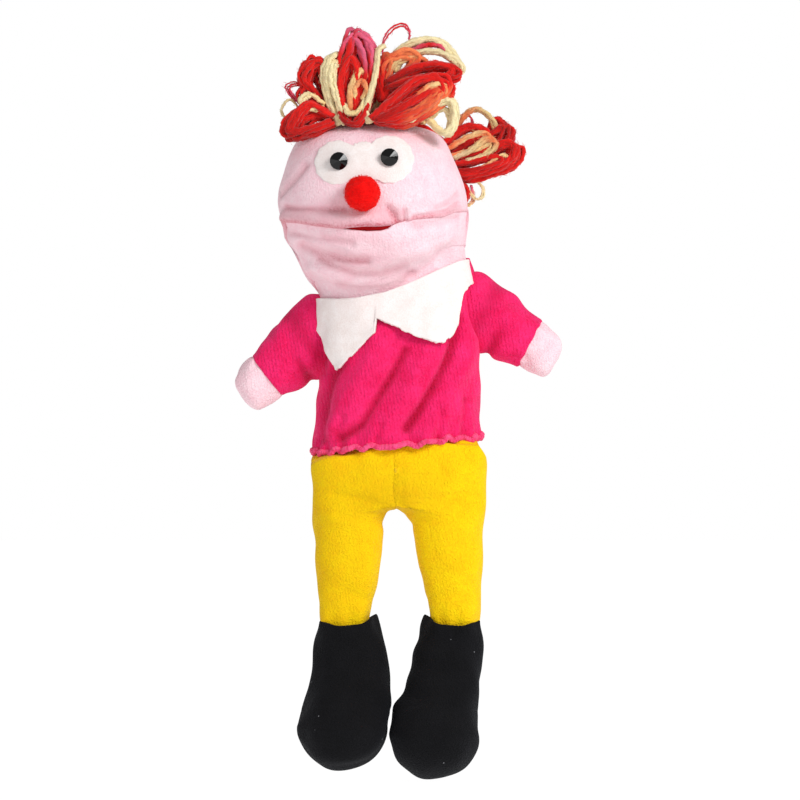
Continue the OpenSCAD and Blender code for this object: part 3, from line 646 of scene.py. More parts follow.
def bean(angle):
    """Outline of the patch: two overlapping circles joined by a shallow dip above, with the larger on
    the right. The radius at each angle is the farther of the two circles."""
    middle = (eye_at[0][[0, 2]] + eye_at[1][[0, 2]]) / 2
    ray = np.stack([np.cos(angle), np.sin(angle)], -1)
    far = np.zeros(len(angle))
    for eye, r in ((eye_at[0] - [1, 0, 0.6], 12.6), (eye_at[1] - [0, 0, 0.8], 13.6)):
        centre = eye[[0, 2]] - middle
        along = ray @ centre
        across = (centre ** 2).sum() - along ** 2
        far = np.maximum(far, along + np.sqrt(np.maximum(r * r - across, 0)))
    soft = np.roll(far, 1) * 0.25 + far * 0.5 + np.roll(far, -1) * 0.25
    soft = np.maximum(soft, np.where(ray[:, 1] < 0, 13.0, 10.2))
    return middle + ray * soft[:, None]


def face_front(x, z, iterations=24):
    """y of the head's front at (x, z): the angle is halved towards the x that is wanted."""
    lo, hi = np.full(np.shape(x), np.pi), np.full(np.shape(x), 2 * np.pi)
    for _ in range(iterations):
        mid = (lo + hi) / 2
        at = head_shell(mid, z)[..., 0]
        lo, hi = np.where(at < x, mid, lo), np.where(at < x, hi, mid)
    return head_shell((lo + hi) / 2, z)[..., 1]


def eye_patch():
    """Rings from the middle of the bean to its rim lie on the forehead, and the last ones turn back over
    the felt's thickness. The rim wanders a little, as felt cut with scissors does."""
    cols = 200
    angle = np.linspace(0, 2 * np.pi, cols, endpoint=False)
    rim = bean(angle)
    rim = rim + 0.25 * np.stack([np.sin(angle * 23 + 1), np.sin(angle * 31)], -1)
    middle = rim.mean(0)
    shares = np.concatenate([np.linspace(0.04, 0.97, 26), [0.99, 1.0, 1.0, 0.985]])
    lift = np.concatenate([np.full(26, 1.7), [1.6, 1.1, 0.4, -0.3]])
    xz = middle + (rim - middle) * shares[:, None, None]
    y = face_front(xz[..., 0], xz[..., 1]) - lift[:, None]
    flat = face_front(xz[..., 0], xz[..., 1] * 0 + middle[1] - 4) - lift[:, None]
    y = 0.8 * y + 0.2 * np.minimum(flat, y + 6)
    y[-1] = face_front(rim[:, 0], rim[:, 1]) + 0.6
    grid = np.stack([xz[..., 0], y, xz[..., 1]], -1)[::-1]
    return skin("eye_patch_felt", grid, ends=(False, True))


dress(eye_patch(), white_felt, "white_felt", "head", "eye_patch")


# %% Faceted gem eyes
def gem(name, centre, radius, node):
    """A pointed cut gem seen from its front: sixteen flat facets climb from a low girdle to one point,
    tilted by atan(0.42) = 23 degrees."""
    count = 16
    a = (np.arange(count) + 0.35) * 2 * np.pi / count
    points = [np.stack([centre[0] + np.cos(a) * share * radius, np.full(count, centre[1] - up),
                        centre[2] + np.sin(a) * share * radius], -1)
              for share, up in ((0.97, -1.5), (1.0, 0.4))]
    points = np.concatenate(points + [[[centre[0], centre[1] - 0.4 - 0.42 * radius, centre[2]]]])
    i = np.arange(count)
    j = (i + 1) % count
    girdle = np.stack([i, j, count + j, count + i], -1)
    facets = np.stack([count + i, count + j, np.full(count, 2 * count)], -1)
    obj = make_mesh(name, points, [girdle, facets], smooth=False)
    return dress(obj, black_acrylic, "gem", "head", node)


for eye, name, node in ((eye_at[0], "gem_eye_left", "eye_left"), (eye_at[1], "gem_eye_right", "eye_right")):
    front = float(face_front(np.array(eye[0]), np.array(eye[2] - 4.0))) - 1.9
    gem(name, (eye[0], min(front, eye[1] + 1.2), eye[2]), 5.0, node)


# %% Pompom nose
def ball(name, centre, radius, rough, seed):
    """A ball whose radius swells and dents by sums of sines, like matted wool."""
    rows, cols = 70, 120
    up = np.linspace(-np.pi / 2 + 0.05, np.pi / 2 - 0.05, rows)[:, None]
    a = np.linspace(0, 2 * np.pi, cols, endpoint=False)[None]
    d = np.stack([np.cos(up) * np.cos(a), np.cos(up) * np.sin(a), np.sin(up) * np.ones_like(a)], -1)
    p = d * radius
    xyz = np.moveaxis(p, -1, 0)
    r = radius + rumple(*xyz, 7, rough, seed) + rumple(*xyz, 2.2, rough * 0.5, seed + 1)
    return skin(name, d * r[..., None] + np.asarray(centre))


def fuzz(name, centre, radius, count, length, width, seed):
    """Short bent fibres that stand up from a ball: each is a strip of two quads with a seeded lean."""
    rng = np.random.default_rng(seed)
    d = rng.normal(size=(count, 3))
    d /= np.linalg.norm(d, axis=1, keepdims=True)
    side = np.cross(d, rng.normal(size=(count, 3)))
    side /= np.linalg.norm(side, axis=1, keepdims=True)
    lean = np.cross(d, side)
    ln = length * rng.uniform(0.4, 1.0, (count, 1))
    foot = np.asarray(centre) + d * (radius - 0.3)
    mid = foot + d * ln * 0.6 + lean * ln * 0.25
    tip = foot + d * ln * 0.9 + lean * ln * 0.8
    w = width * 0.5
    pts = np.stack([foot - side * w, foot + side * w, mid - side * w * 0.8, mid + side * w * 0.8, tip], 1)
    base = np.arange(count)[:, None] * 5
    tris = np.concatenate([base + [0, 1, 3], base + [0, 3, 2], base + [2, 3, 4]], 0)
    return make_mesh(name, pts.reshape(-1, 3), [tris])


nose_at = (low("nose") + high("nose")) / 2 - [0, 0, 1.6]
nose_r = float(high("nose")[0] - low("nose")[0]) / 2
nose_at[1] = face_front(nose_at[0], nose_at[2]) - 0.72 * nose_r  # sunk a little into the cloth
dress(ball("pompom_nose", nose_at, nose_r - 0.4, 0.35, 5), pompom_wool, "pompom", "head", "nose")
dress(fuzz("pompom_fuzz", nose_at, nose_r - 0.4, 2600, 1.8, 0.16, 6), pompom_wool, "pompom", "head")

# %% Red lining between the lips
lining = skin("mouth_lining_edge", lining_fold(np.linspace(-33, -2.5, 60)))
dress(lining, red_felt, "red_felt", "jaw")

# %% [markdown]
# ## Yarn hair
#
# The hair is made of loops of soft variegated yarn, sewn to a tape along the parting. The yarn is
# two loose plies, so a strand's section is a figure of eight that turns as it goes. A bundle is a
# few strands that share one route, each pushed a little off it, and pinched together at the tape.
# Real hair systems would work too, but loops with chosen routes keep the shape of a made object.

# %% Strands of yarn
dyes = {"r": paint("#e8160e"), "d": paint("#b80c08"), "o": paint("#ff8550"), "c": paint("#fdebb8"),
        "y": paint("#fadb9a"), "p": paint("#f0688a")}


twist = 13.0  # length of yarn in which its two plies turn once


def strand(path, radius, dye, rng, rings=56, sides=9):
    """Points, faces and colours of one strand. Its section turns a full circle every twist, and
    its radius is 1 + 0.14 cos(2 a) times the given one, so that two loose plies show."""
    p = spline(path, rings)
    p[1:-1] += rng.normal(0, 0.12, (rings - 2, 3))
    along = np.gradient(p, axis=0)
    along /= np.linalg.norm(along, axis=1, keepdims=True)
    side = np.cross(along, [0.15, 1.0, 0.1])
    side /= np.maximum(np.linalg.norm(side, axis=1, keepdims=True), 1e-9)
    over = np.cross(side, along)
    travelled = np.concatenate([[0], np.cumsum(np.linalg.norm(np.diff(p, axis=0), axis=1))])
    a = np.linspace(0, 2 * np.pi, sides, endpoint=False)
    turn = travelled[:, None] * 2 * np.pi / twist + rng.uniform(0, 6)
    slub = 1 + 0.12 * np.sin(travelled / rng.uniform(4, 9) + rng.uniform(0, 6))
    r = radius * slub[:, None] * (1 + 0.14 * np.cos(2 * (a[None] - turn)))
    spread_out = np.cos(a)[None, :, None] * side[:, None] + np.sin(a)[None, :, None] * over[:, None]
    rim = p[:, None] + r[..., None] * spread_out
    stops = np.array([dyes[k][:3] for k in dye])
    where = np.clip(np.linspace(0, 1, rings) + 0.06 * np.sin(travelled / 11 + rng.uniform(0, 6)), 0, 1)
    where = where * (len(stops) - 1) + 1e-9
    colour = np.stack([np.interp(where, np.arange(len(stops)), stops[:, k]) for k in range(3)], -1)
    # Painted shade in the groove between the two plies, baked into the colour.
    valley_shade = 1 - 0.16 * (1 - np.cos(2 * (a[None] - turn))) / 2
    colour = np.clip(colour[:, None] * valley_shade[..., None] * rng.uniform(0.88, 1.1), 0, 1)
    ends = np.stack([p[0], p[-1]])
    points = np.concatenate([rim.reshape(-1, 3), ends])
    base = (rings - 1) * sides
    c = np.arange(sides)
    caps = np.concatenate([np.stack([(c + 1) % sides, c, np.full(sides, rings * sides)], -1),
                           np.stack([base + c, base + (c + 1) % sides, np.full(sides, rings * sides + 1)],
                                    -1)])
    colours = np.concatenate([colour.reshape(-1, 3), colour[0, :1], colour[-1, :1]])
    return points, grid_faces(rings, sides), caps, colours, p


def fibres(p, radius, colour, rng, every=1.1):
    """Stray hairs of the yarn: thin bent triangles that start at the strand and lean away from it."""
    length = np.linalg.norm(np.diff(p, axis=0), axis=1).sum()
    n = int(length * every)
    k = rng.integers(1, len(p) - 1, n)
    d = rng.normal(size=(n, 3))
    d /= np.linalg.norm(d, axis=1, keepdims=True)
    along = p[k + 1] - p[k - 1]
    along /= np.linalg.norm(along, axis=1, keepdims=True)
    foot = p[k] + d * radius * 0.8
    long = rng.uniform(1.2, 3.4, (n, 1))
    tip = foot + d * long * 0.5 + along * long * rng.choice([-1, 1], (n, 1)) * 0.8
    w = np.cross(d, along) * 0.075
    points = np.stack([foot - w, foot + w, (foot + tip) / 2 + d * 0.25 + w * 0.8, tip], 1).reshape(-1, 3)
    b = np.arange(n)[:, None] * 4
    return points, np.concatenate([b + [0, 1, 2], b + [0, 2, 3]]), np.repeat(colour[k * 9], 4, 0)


def yarn(name, bundles, seed, node):
    """One piece from bundles of (count, spread, radius, dyes, route), where the route's points are
    across, back and up. The spread is widest halfway along."""
    rng = np.random.default_rng(seed)
    points, quads, tris, colours, start = [], [], [], [], 0
    for count, spread, radius, dye, route in bundles:
        route = np.asarray(route, float)
        if count > 2:
            count, radius = round(count * 1.5), radius * 0.84
        wide = np.sin(np.linspace(0.15, 0.85, len(route)) * np.pi)[:, None] * 0.85 + 0.15
        for i in range(count):
            a = 2 * np.pi * (i + rng.uniform(0, 0.5)) / count
            oval = np.array([np.cos(a), 1.5 * np.sin(a), 0.5 * np.cos(a + 2)])
            push = oval * spread * np.sqrt(rng.uniform(0.25, 1))
            wander = rng.normal(0, 0.2 * spread, route.shape)
            scale = 1 + rng.uniform(-0.05, 0.05)
            path = route[0] + (route - route[0]) * scale + push * wide + wander * wide
            pts, q, t, col, line = strand(path, radius * rng.uniform(0.85, 1.15), dye, rng)
            fp, ft, fc = fibres(line, radius, col, rng)
            points += [pts, fp]
            quads.append(q + start)
            tris += [t + start, ft + start + len(pts)]
            colours += [col, fc]
            start += len(pts) + len(fp)
    obj = make_mesh(name, np.concatenate(points), [np.concatenate(quads), np.concatenate(tris)])
    rgba = np.concatenate([np.concatenate(colours), np.ones((start, 1))], 1)
    dye_and_ply_shade = obj.data.color_attributes.new("dye", "FLOAT_COLOR", "POINT")
    dye_and_ply_shade.data.foreach_set("color", rgba.astype(np.float32).ravel())
    slot_name = "red_yarn" if "r" in bundles[0][3] else "cream_yarn"
    return dress(obj, spun_yarn, slot_name, "head", *([node] if node else []))


# %% Hair over the forehead
y0 = float(low("hair_bunch_1")[1]) + 6.5


def at(y, *points):
    """A route in the front view at one depth, bowed forwards a little in its middle."""
    bow = np.sin(np.linspace(0, np.pi, len(points)))
    return [(x, y - 3.0 * b, z) for (x, z), b in zip(points, bow)]


fan = {
    "hair_bunch_1": [
        (13, 4.0, 1.35, "rrdr", at(y0 - 6, (-38, 183), (-50, 188), (-58.5, 180), (-60.5, 172), (-50, 174.5),
                                   (-38, 179.5))),
        (8, 2.6, 1.3, "drrd", at(y0 - 3, (-38, 181), (-46, 182.5), (-54, 179.5), (-56.5, 174), (-49, 173.5),
                                 (-40, 177))),
        (5, 2.4, 1.2, "rdrr", at(y0 - 1, (-37, 184), (-45, 190), (-52, 192), (-55, 196), (-50, 199),
                                 (-43, 192))),
        (3, 1.6, 1.0, "oyro", at(y0 - 5, (-44, 186), (-50, 188.5), (-53, 192), (-48, 194.5), (-43, 190))),
        (8, 3.4, 1.3, "drrd", at(y0 - 2, (-36, 186), (-46, 190), (-55, 186), (-57, 176), (-46, 176),
                                 (-36, 181))),
        (2, 1.2, 1.1, "ycy", at(y0 - 8, (-42, 190), (-49, 195), (-54, 191.5), (-49, 187), (-42, 188))),
        (3, 1.6, 0.5, "prp", at(y0, (-49, 187), (-58, 193), (-62, 199), (-56, 201), (-51, 193), (-47, 188))),
        (1, 0.2, 0.8, "ycy", at(y0 - 1, (-55, 187), (-61.2, 193), (-66, 188), (-65, 183.6), (-59, 181))),
    ],
    "hair_bunch_2": [
        (13, 3.8, 1.35, "drrrd", at(y0, (-37, 184), (-47, 195), (-53, 202.5), (-51, 210.5), (-45.3, 213.5),
                                    (-40.5, 205), (-36, 186))),
        (4, 2.2, 1.2, "rdr", at(y0 + 3, (-35, 184), (-43, 198), (-48, 208), (-43, 210), (-38, 198),
                                (-34, 186))),
    ],
    "hair_bunch_3": [
        (4, 1.7, 1.45, "cccccy", at(y0 - 5, (-34, 178.5), (-38.5, 190), (-41.2, 203), (-40, 212),
                                    (-35.5, 216.5), (-31, 213.5))),
        (3, 1.3, 1.4, "ccccy", at(y0 - 7, (-30.5, 178.5), (-34, 190), (-36.5, 202), (-36, 211),
                                  (-32.5, 214))),
        (19, 5.4, 1.4, "drrrpprrd", at(y0 - 1, (-25, 180), (-30.5, 192), (-31, 205), (-27, 219),
                                       (-22.5, 226.5), (-18, 219), (-16.5, 205), (-19, 194), (-22, 184))),
        (6, 2.6, 1.3, "rrrr", at(y0 - 6, (-26, 179), (-31.5, 190), (-32, 203), (-27, 214), (-23, 207),
                                 (-24, 194), (-24, 183))),
        (2, 0.8, 1.2, "oyo", at(y0 - 8, (-27, 186), (-27, 198), (-22, 208), (-18, 205))),
        (2, 0.6, 1.2, "yoy", at(y0 - 9, (-24, 192), (-24.5, 199), (-20.5, 203), (-18, 197.5), (-21, 193))),
        (4, 1.8, 1.3, "rdrr", at(y0 - 8, (-33, 186), (-30, 180), (-24, 179), (-18.5, 187), (-17.5, 194))),
        (2, 0.7, 1.2, "cyc", at(y0 - 9, (-31, 190), (-28, 184.5), (-22.5, 186), (-19, 193))),
    ],
    "hair_bunch_4": [
        (3, 1.0, 1.35, "cccc", at(y0 - 8, (-8, 222.5), (-11.5, 220), (-12.4, 211), (-14, 202), (-16.3, 193),
                                  (-18.6, 184.5), (-15.5, 180.5), (-7, 189), (2.4, 197.6), (9.5, 202.5))),
        (11, 3.8, 1.4, "rroorr", at(y0 - 3, (-9, 192), (-10.5, 204), (-7, 213.5), (2.4, 217), (10, 214),
                                    (6, 208), (-4, 200), (-9, 192))),
        (3, 1.4, 1.3, "oyor", at(y0 - 6, (-7, 203), (-4, 211), (3, 215), (11.5, 215.5), (15, 212),
                                 (8, 209.5))),
        (4, 1.8, 1.25, "rdor", at(y0 - 4, (-10, 196), (-9.5, 207), (-8, 216), (-4.5, 213), (-6, 204),
                                  (-8, 196))),
        (2, 0.5, 0.55, "prp", at(y0 + 2, (-7, 208), (-9.4, 222), (-6, 231), (1.1, 235.5), (6.0, 232.5),
                                 (5.4, 225), (2, 214))),
    ],
    "hair_bunch_5": [
        (5, 1.9, 1.5, "cccccy", at(y0 - 2, (-5, 208), (-1, 218), (8, 224.5), (18, 226), (26, 222),
                                   (31.5, 214.5), (30, 206))),
        (4, 1.7, 1.5, "yccccc", at(y0 - 5, (-2, 208), (2, 215), (12, 219), (23, 218.6), (31, 214.5),
                                   (33.8, 209.5), (29.5, 205))),
        (2, 0.6, 1.1, "prp", at(y0 - 5, (6, 219), (14, 222.5), (22, 222.5), (27, 219.5))),
        (11, 2.9, 1.4, "drrrrrd", at(y0 - 8, (-6, 202), (7, 208.5), (21, 211), (30, 208.5), (28, 204.5),
                                     (12, 203.5), (-6, 199))),
        (3, 1.2, 1.1, "ddr", at(y0 + 2, (16, 204), (26, 206), (28, 198), (27.3, 192), (20, 190))),
    ],
    "hair_bunch_6": [
        (17, 4.6, 1.5, "rrrrrorr", at(y0 - 10, (-14, 180.5), (-3, 190), (11, 200.5), (23, 202.5),
                                      (25.5, 196), (17, 187.5), (3, 179.5), (-11, 180))),
        (6, 2.4, 1.45, "drrord", at(y0 - 14, (-13, 180.5), (0, 186.5), (14, 194), (22, 195.5), (14, 188),
                                    (0, 181.5), (-12, 180))),
        (3, 1.2, 1.35, "royoy", at(y0 - 15, (-2, 186), (10, 193), (18, 199), (25, 199.5), (25, 195),
                                   (16, 192.5))),
        (5, 1.9, 1.45, "ccccccy", at(y0 - 12, (6, 180), (13, 185), (22, 189.5), (29, 191), (30.8, 184.5),
                                     (29, 176.5), (24.5, 173.5), (17, 180.5))),
        (3, 1.3, 1.4, "ycccy", at(y0 - 9, (8, 182), (17, 184), (26, 187), (29.5, 180), (26.5, 173),
                                  (20, 176))),
    ],
}
for k, (node, bundles) in enumerate(fan.items()):
    yarn(f"yarn_{node[5:]}", bundles, 100 + k, node)

# %% Hair on the crown, the side and the back
rng = np.random.default_rng(300)
tape_z = 182  # the loops on the crown start on the tape at this height
crown = []
for i in range(46):
    x, y = rng.uniform(-42, 14), rng.uniform(-31, 16)
    up, lean, back = rng.uniform(15, 24) + 9 * smoothstep(-y, 6, 26), rng.uniform(-12, 12), rng.uniform(-5, 9)
    crown.append((2, 1.9, 1.45, ["rrdr", "drrd", "rroc", "cccy", "yccy"][i % 5],
                  [(x, y, tape_z), (x + lean * 0.3 - 3, y + back * 0.4, tape_z + up * 0.6),
                   (x + lean, y + back, tape_z + up), (x + lean * 0.8 + 5, y + back, tape_z + up * 0.6),
                   (x + 3, y + 2, tape_z)]))
yarn("yarn_crown", crown, 301, "hair_crown")

side_y = float(low("hair_side_upper")[1] + high("hair_side_upper")[1]) / 2 - 4
upper = [
    (3, 1.2, 1.35, "yoyyo", at(side_y - 3, (29, 174), (33, 180), (39, 187.5), (45, 189), (51.5, 184),
                               (53.5, 178), (50, 174.5))),
    (10, 2.8, 1.4, "rrrd", at(side_y - 5, (25, 170), (34, 177), (42, 179.5), (48, 176), (42, 172),
                              (28, 169))),
    (4, 1.6, 1.2, "cyoyc", at(side_y - 8, (31, 162), (40, 166), (49, 172), (55, 170), (50, 164), (38, 160))),
    (4, 1.6, 1.35, "oyoyo", at(side_y - 7, (27, 167), (39, 173.5), (48, 175.5), (51.5, 171), (44, 167),
                               (29, 163))),
    (4, 1.7, 1.3, "rrdr", at(side_y - 1, (46, 170), (52, 178), (55.5, 184.5), (59.5, 181), (60.5, 174),
                             (54, 168))),
    (2, 0.8, 0.5, "prp", at(side_y, (31, 174), (33, 183), (38, 188), (42, 184), (38, 178))),
    (2, 0.7, 0.6, "prp", at(side_y - 1, (55, 176), (60, 182), (64, 180.5), (66, 173), (61, 170))),
    (2, 0.6, 0.9, "cyc", at(side_y - 4, (48, 173), (55, 174), (59, 170), (54, 166))),
]
yarn("yarn_side_upper", upper, 401, "hair_side_upper")
lower = [
    (15, 3.6, 1.4, "drrrrrrd", at(side_y - 4, (28, 160), (44, 164), (57, 169), (64.5, 168.5), (66, 163.5),
                                  (61, 157.5), (51, 154), (39, 151), (29, 154))),
    (5, 2.0, 1.35, "rrrd", at(side_y - 7, (29, 158), (42, 160), (54, 162), (60, 160), (52, 157), (40, 154),
                              (30, 155))),
    (2, 0.8, 1.1, "oyo", at(side_y - 8, (42, 155), (50, 158), (58, 163), (62, 161), (56, 156))),
    (10, 3.6, 1.3, "drrdrr", at(side_y - 3, (30, 164), (42, 170), (54, 175), (60, 178), (58, 170), (46, 162),
                                (31, 157))),
    (4, 1.8, 1.1, "drrd", at(side_y - 2, (29, 156), (34, 150), (38, 144), (36, 138), (33, 146), (29, 152))),
    (2, 0.8, 0.7, "ycy", at(side_y - 3, (33, 151), (40, 143), (44, 138.5), (48, 141), (47, 147), (40, 152))),
    (2, 0.7, 0.6, "pyp", at(side_y - 2, (33, 150), (36.5, 141), (38.5, 136), (42, 139), (41, 147))),
]
yarn("yarn_side_lower", lower, 402, "hair_side_lower")

# Rows of loops hang over the back of the head from the tape. Each lies on the head, then bows out.
hang = []
for row, (top, drop, lift) in enumerate(((184, 26, 3.5), (172, 30, 2.5), (160, 26, 2.0))):
    for i in range(13):
        a = np.radians(34 + 112 * (i + 0.5 * (row % 2) + rng.uniform(-0.2, 0.2)) / 13)
        route = []
        for t, dx in ((0, 0), (0.3, -2), (0.7, -3), (1.0, 0), (0.7, 3), (0.3, 2), (0, 0.5)):
            z = top - drop * t
            p = head_shell(np.array(a), np.array(min(z, 179.5)),
                           grow=lift + 3.0 * math.sin(math.pi * t * 0.8))
            route.append((p[0] + dx, p[1], z))
        hang.append((2, 1.5, 1.4, ["rrdrr", "rccyr", "drrrd", "ccycc", "rooyr"][(i + row) % 5], route))
yarn("yarn_back", hang, 403, "hair_back")

# %% [markdown]
# ## The jacket
#
# The jacket is a sleeve for the puppeteer's wrist, sewn from two panels of velour. Nothing fills
# it, so it twists and folds: one broad fold runs up from the left of the hem to the collar.

# %% Jacket outline and folds
hem_slope = math.tan(math.radians(5.5))


def jacket_folds(x, y, z):
    """How far the cloth stands out of the plain tube: named folds in front, gentle ones behind."""
    front = smoothstep(-y, 2, 18)
    f = ridge(x, z, [(-36, 10), (-27, 26), (-16, 44), (-9, 62)], 6.5, 3.8)
    f += ridge(x, z, [(-44, 2), (-42, 22), (-38, 38), (-34, 44)], 3.6, -3.0)
    f += ridge(x, z, [(-33, 3), (-22, 10), (-14, 22), (-4, 38), (3, 52)], 2.8, -3.6)
    f += ridge(x, z, [(-12, 6), (0, 20), (10, 40), (17, 56)], 5.0, 2.8)
    f += ridge(x, z, [(4, 8), (12, 20), (22, 36), (29, 50), (35, 70)], 2.8, -3.8)
    f += ridge(x, z, [(16, 4), (28, 24), (36, 42), (42, 58)], 5.0, 2.6)
    f += ridge(x, z, [(-45, 40), (-42, 56), (-41, 66)], 3.0, -2.8)
    f += ridge(x, z, [(-37, 1), (-31, 14)], 2.4, -2.0) + ridge(x, z, [(-14, 0), (-10, 10)], 2.0, -1.6)
    f += ridge(x, z, [(22, 3), (23, 18)], 2.0, -2.0) + ridge(x, z, [(36, 4), (38, 24)], 2.4, -1.8)
    back = ridge(x, z, [(-30, 6), (-10, 40), (16, 70)], 6, 3.0) + ridge(x, z, [(0, 4), (22, 44)], 4, -2.6)
    back += ridge(x, z, [(-14, 10), (-30, 50)], 4, -2.2) + ridge(x, z, [(26, 10), (34, 60)], 5, 2.2)
    return f * front + back * (1 - front) * smoothstep(y, 4, 18) + rumple(x, y, z, 22, 0.55, 21)


wave_points = 24


def hem_wave(angle):
    """The rolled hem rises and falls: three sines that never quite repeat."""
    return (0.8 * np.sin(wave_points * angle + 0.6) + 0.5 * np.sin(38 * angle + 2.0)
            + 0.6 * np.sin(6 * angle + 1.0))


def jacket_top(x, y):
    """Height of the jacket's upper edge, just under the top of the collar, which it passes at the right."""
    return neck_edge(x, y) - 1.2 + 4.5 * smoothstep(x, 36, 41) * smoothstep(y, -8, 4)


def shoulder_edge(grid):
    """1 where the jacket's edge stands up beside the collar, on the right, and 0 elsewhere."""
    x, y, z = grid[..., 0], grid[..., 1], grid[..., 2]
    return smoothstep(x, 35.5, 39.5) * smoothstep(z, 78, 92) * smoothstep(y, -18, -6) * smoothstep(y, 27, 16)


# %% Jacket cloth
def jacket():
    """Rows climb from the hem to the neckline, then turn in and down for the hem of the neck."""
    cols, rows = 300, 120
    angle = np.linspace(0, 2 * np.pi, cols, endpoint=False)
    ring = jacket_shell(angle, np.full(cols, 0.0))
    bottom = hem_slope * ring[:, 0] + hem_wave(angle)
    top_ring = jacket_shell(angle, np.full(cols, 90.0))
    top = jacket_top(top_ring[:, 0], top_ring[:, 1])
    t = np.linspace(0, 1, rows)[:, None]
    z = bottom[None] + (top - bottom)[None] * t
    grid = jacket_shell(np.broadcast_to(angle, (rows, cols)), z, grow=-0.6)
    n = outward(grid)
    f = jacket_folds(grid[..., 0], grid[..., 1], grid[..., 2])
    edge = smoothstep(grid[..., 2], neckline(grid[..., 0], -2), neckline(grid[..., 0], -14))
    flute = 0.9 * np.sin(wave_points * angle + 2.1)[None] * np.exp(-((z - bottom[None]) / 6) ** 2)
    grid = grid + n * (np.clip(f, -3.0, 3.4) * edge + flute + 3.4 * shoulder_edge(grid))[..., None]
    inner = grid[-1:] - n[-1:] * np.array([1, 1, 0]) * 1.6
    low_in = inner - np.array([0, 0, 6.0])
    obj = skin("jacket_velour", np.concatenate([grid, inner, low_in]), ends=(False, False))
    # Painted shade: darker in the valleys of the folds and in the troughs of the hem's waves.
    valley_shade = np.clip(-f - 0.7, 0, 3) * 0.34 * edge + 0.12 * (flute < -0.3)
    return paint_shade(obj, valley_shade), grid[0]


jacket_obj, hem_ring = jacket()
dress(jacket_obj, jacket_velour, "magenta_velour", "torso", "jacket_front", "jacket_back")


# %% [markdown]
# ## Serged hem
#
# The hem is rolled and overcast with thread, pulled so tight that it waves like a lettuce leaf.
# Every stitch wraps round the edge, so the edging is a cord with a fine ribbed radius.

# %% Hem edging
def tube(name, path, radius, sides=8, closed=False, up=(0.0, 0.0, 1.0)):
    """A tube round a path: each ring is a circle across the path, kept upright by a fixed direction."""
    path = np.asarray(path, float)
    if closed:
        along = np.roll(path, -1, 0) - np.roll(path, 1, 0)
    else:
        along = np.gradient(path, axis=0)
    along /= np.linalg.norm(along, axis=1, keepdims=True)
    side = np.cross(along, np.asarray(up))
    side /= np.maximum(np.linalg.norm(side, axis=1, keepdims=True), 1e-9)
    over = np.cross(side, along)
    a = np.linspace(0, 2 * np.pi, sides, endpoint=False)
    r = np.broadcast_to(radius, len(path))[:, None, None]
    spread_out = np.cos(a)[None, :, None] * side[:, None] + np.sin(a)[None, :, None] * over[:, None]
    rings = path[:, None] + r * spread_out
    if closed:
        rings = np.concatenate([rings, rings[:1]])
        return skin(name, rings, ends=(False, False))
    return skin(name, rings)


def hem_edging():
    """A cord along the jacket's lowest row, with its radius ribbed once for each stitch."""
    n = 1400
    k = np.linspace(0, len(hem_ring), n, endpoint=False)
    closed_ring = np.vstack([hem_ring, hem_ring[:1]])
    path = np.stack([np.interp(k, np.arange(len(closed_ring)), closed_ring[:, i]) for i in range(3)], -1)
    path[:, 2] -= 1.0
    radius = 1.6 + 0.16 * np.sin(np.arange(n) * 2 * np.pi / 7) + 0.12 * np.sin(np.arange(n) * 0.05)
    return tube("hem_edging_thread", path, radius, sides=10, closed=True)


dress(hem_edging(), edging_thread, "edging_thread", "torso", "hem_edging")

# %% [markdown]
# ## The felt collar
#
# A pointed collar is cut from one piece of thick white felt and laid round the neck. Felt doesn't
# fray, so it is left raw, and scissors leave its edge a little jagged.

# %% Collar
collar_cut = [  # across the front, and how low the cut edge hangs
    [-50, 65.5], [-45.7, 64.3], [-35.8, 40.5], [-25.1, 51.3], [-13.6, 62.6], [-13.5, 70.1], [-9, 67.9],
    [0.9, 63.4], [8.9, 59.8], [17, 56.6], [24.2, 56.4], [28.7, 60.7], [32.2, 66.9], [33.6, 73.2], [36.7, 84],
    [41.6, 89.3], [50, 90]]


def collar():
    """A sheet round the neck: across it runs the angle, and down it the distance from the neckline to the
    cut edge. It stands off the jacket more towards its points."""
    cols, rows = 520, 36
    angle = np.linspace(0, 2 * np.pi, cols, endpoint=False)
    ring = jacket_shell(angle, np.full(cols, 76.0), grow=2.4)
    facing = smoothstep(ring[:, 1], -2, 8)
    bottom = (1 - facing) * curve(collar_cut, ring[:, 0]) + facing * neckline(ring[:, 0], -16)
    rng = np.random.default_rng(11)
    nicks = np.repeat(rng.uniform(-0.5, 0.5, cols // 4), 4)
    bottom = bottom + nicks + rng.uniform(-0.15, 0.15, cols)
    top = neck_edge(ring[:, 0], ring[:, 1])
    t = np.linspace(0, 1, rows)[:, None]
    z = top[None] + (bottom - top)[None] * t
    grid = jacket_shell(np.broadcast_to(angle, (rows, cols)), z)
    lift = (1.5 + 1.7 * t ** 1.5 + 0.4 * np.sin(angle * 5 + 1)[None] * t) * (1 - 0.75 * shoulder_edge(grid))
    n = outward(grid[::-1])[::-1]
    fold = jacket_folds(grid[..., 0], grid[..., 1], grid[..., 2]) * 0.5 * t
    grid = grid + n * (lift + fold + rumple(grid[..., 0], grid[..., 1], grid[..., 2], 16, 0.3, 5))[..., None]
    obj = skin("collar_felt", grid[::-1], ends=(False, False))
    thick = obj.modifiers.new("felt thickness", "SOLIDIFY")
    thick.thickness = 1.8 * MM
    thick.offset = 0
    height = np.linalg.norm(np.diff(grid, axis=0), axis=-1).sum(0)
    width = np.linalg.norm(np.roll(grid, -1, 1) - grid, axis=-1).mean(0)
    return obj, float((height * width).sum()) * MM * MM


collar_felt, collar_area = collar()
dress(collar_felt, white_felt, "white_felt", "torso", "collar")
print("collar area, square metres:", round(collar_area, 5))
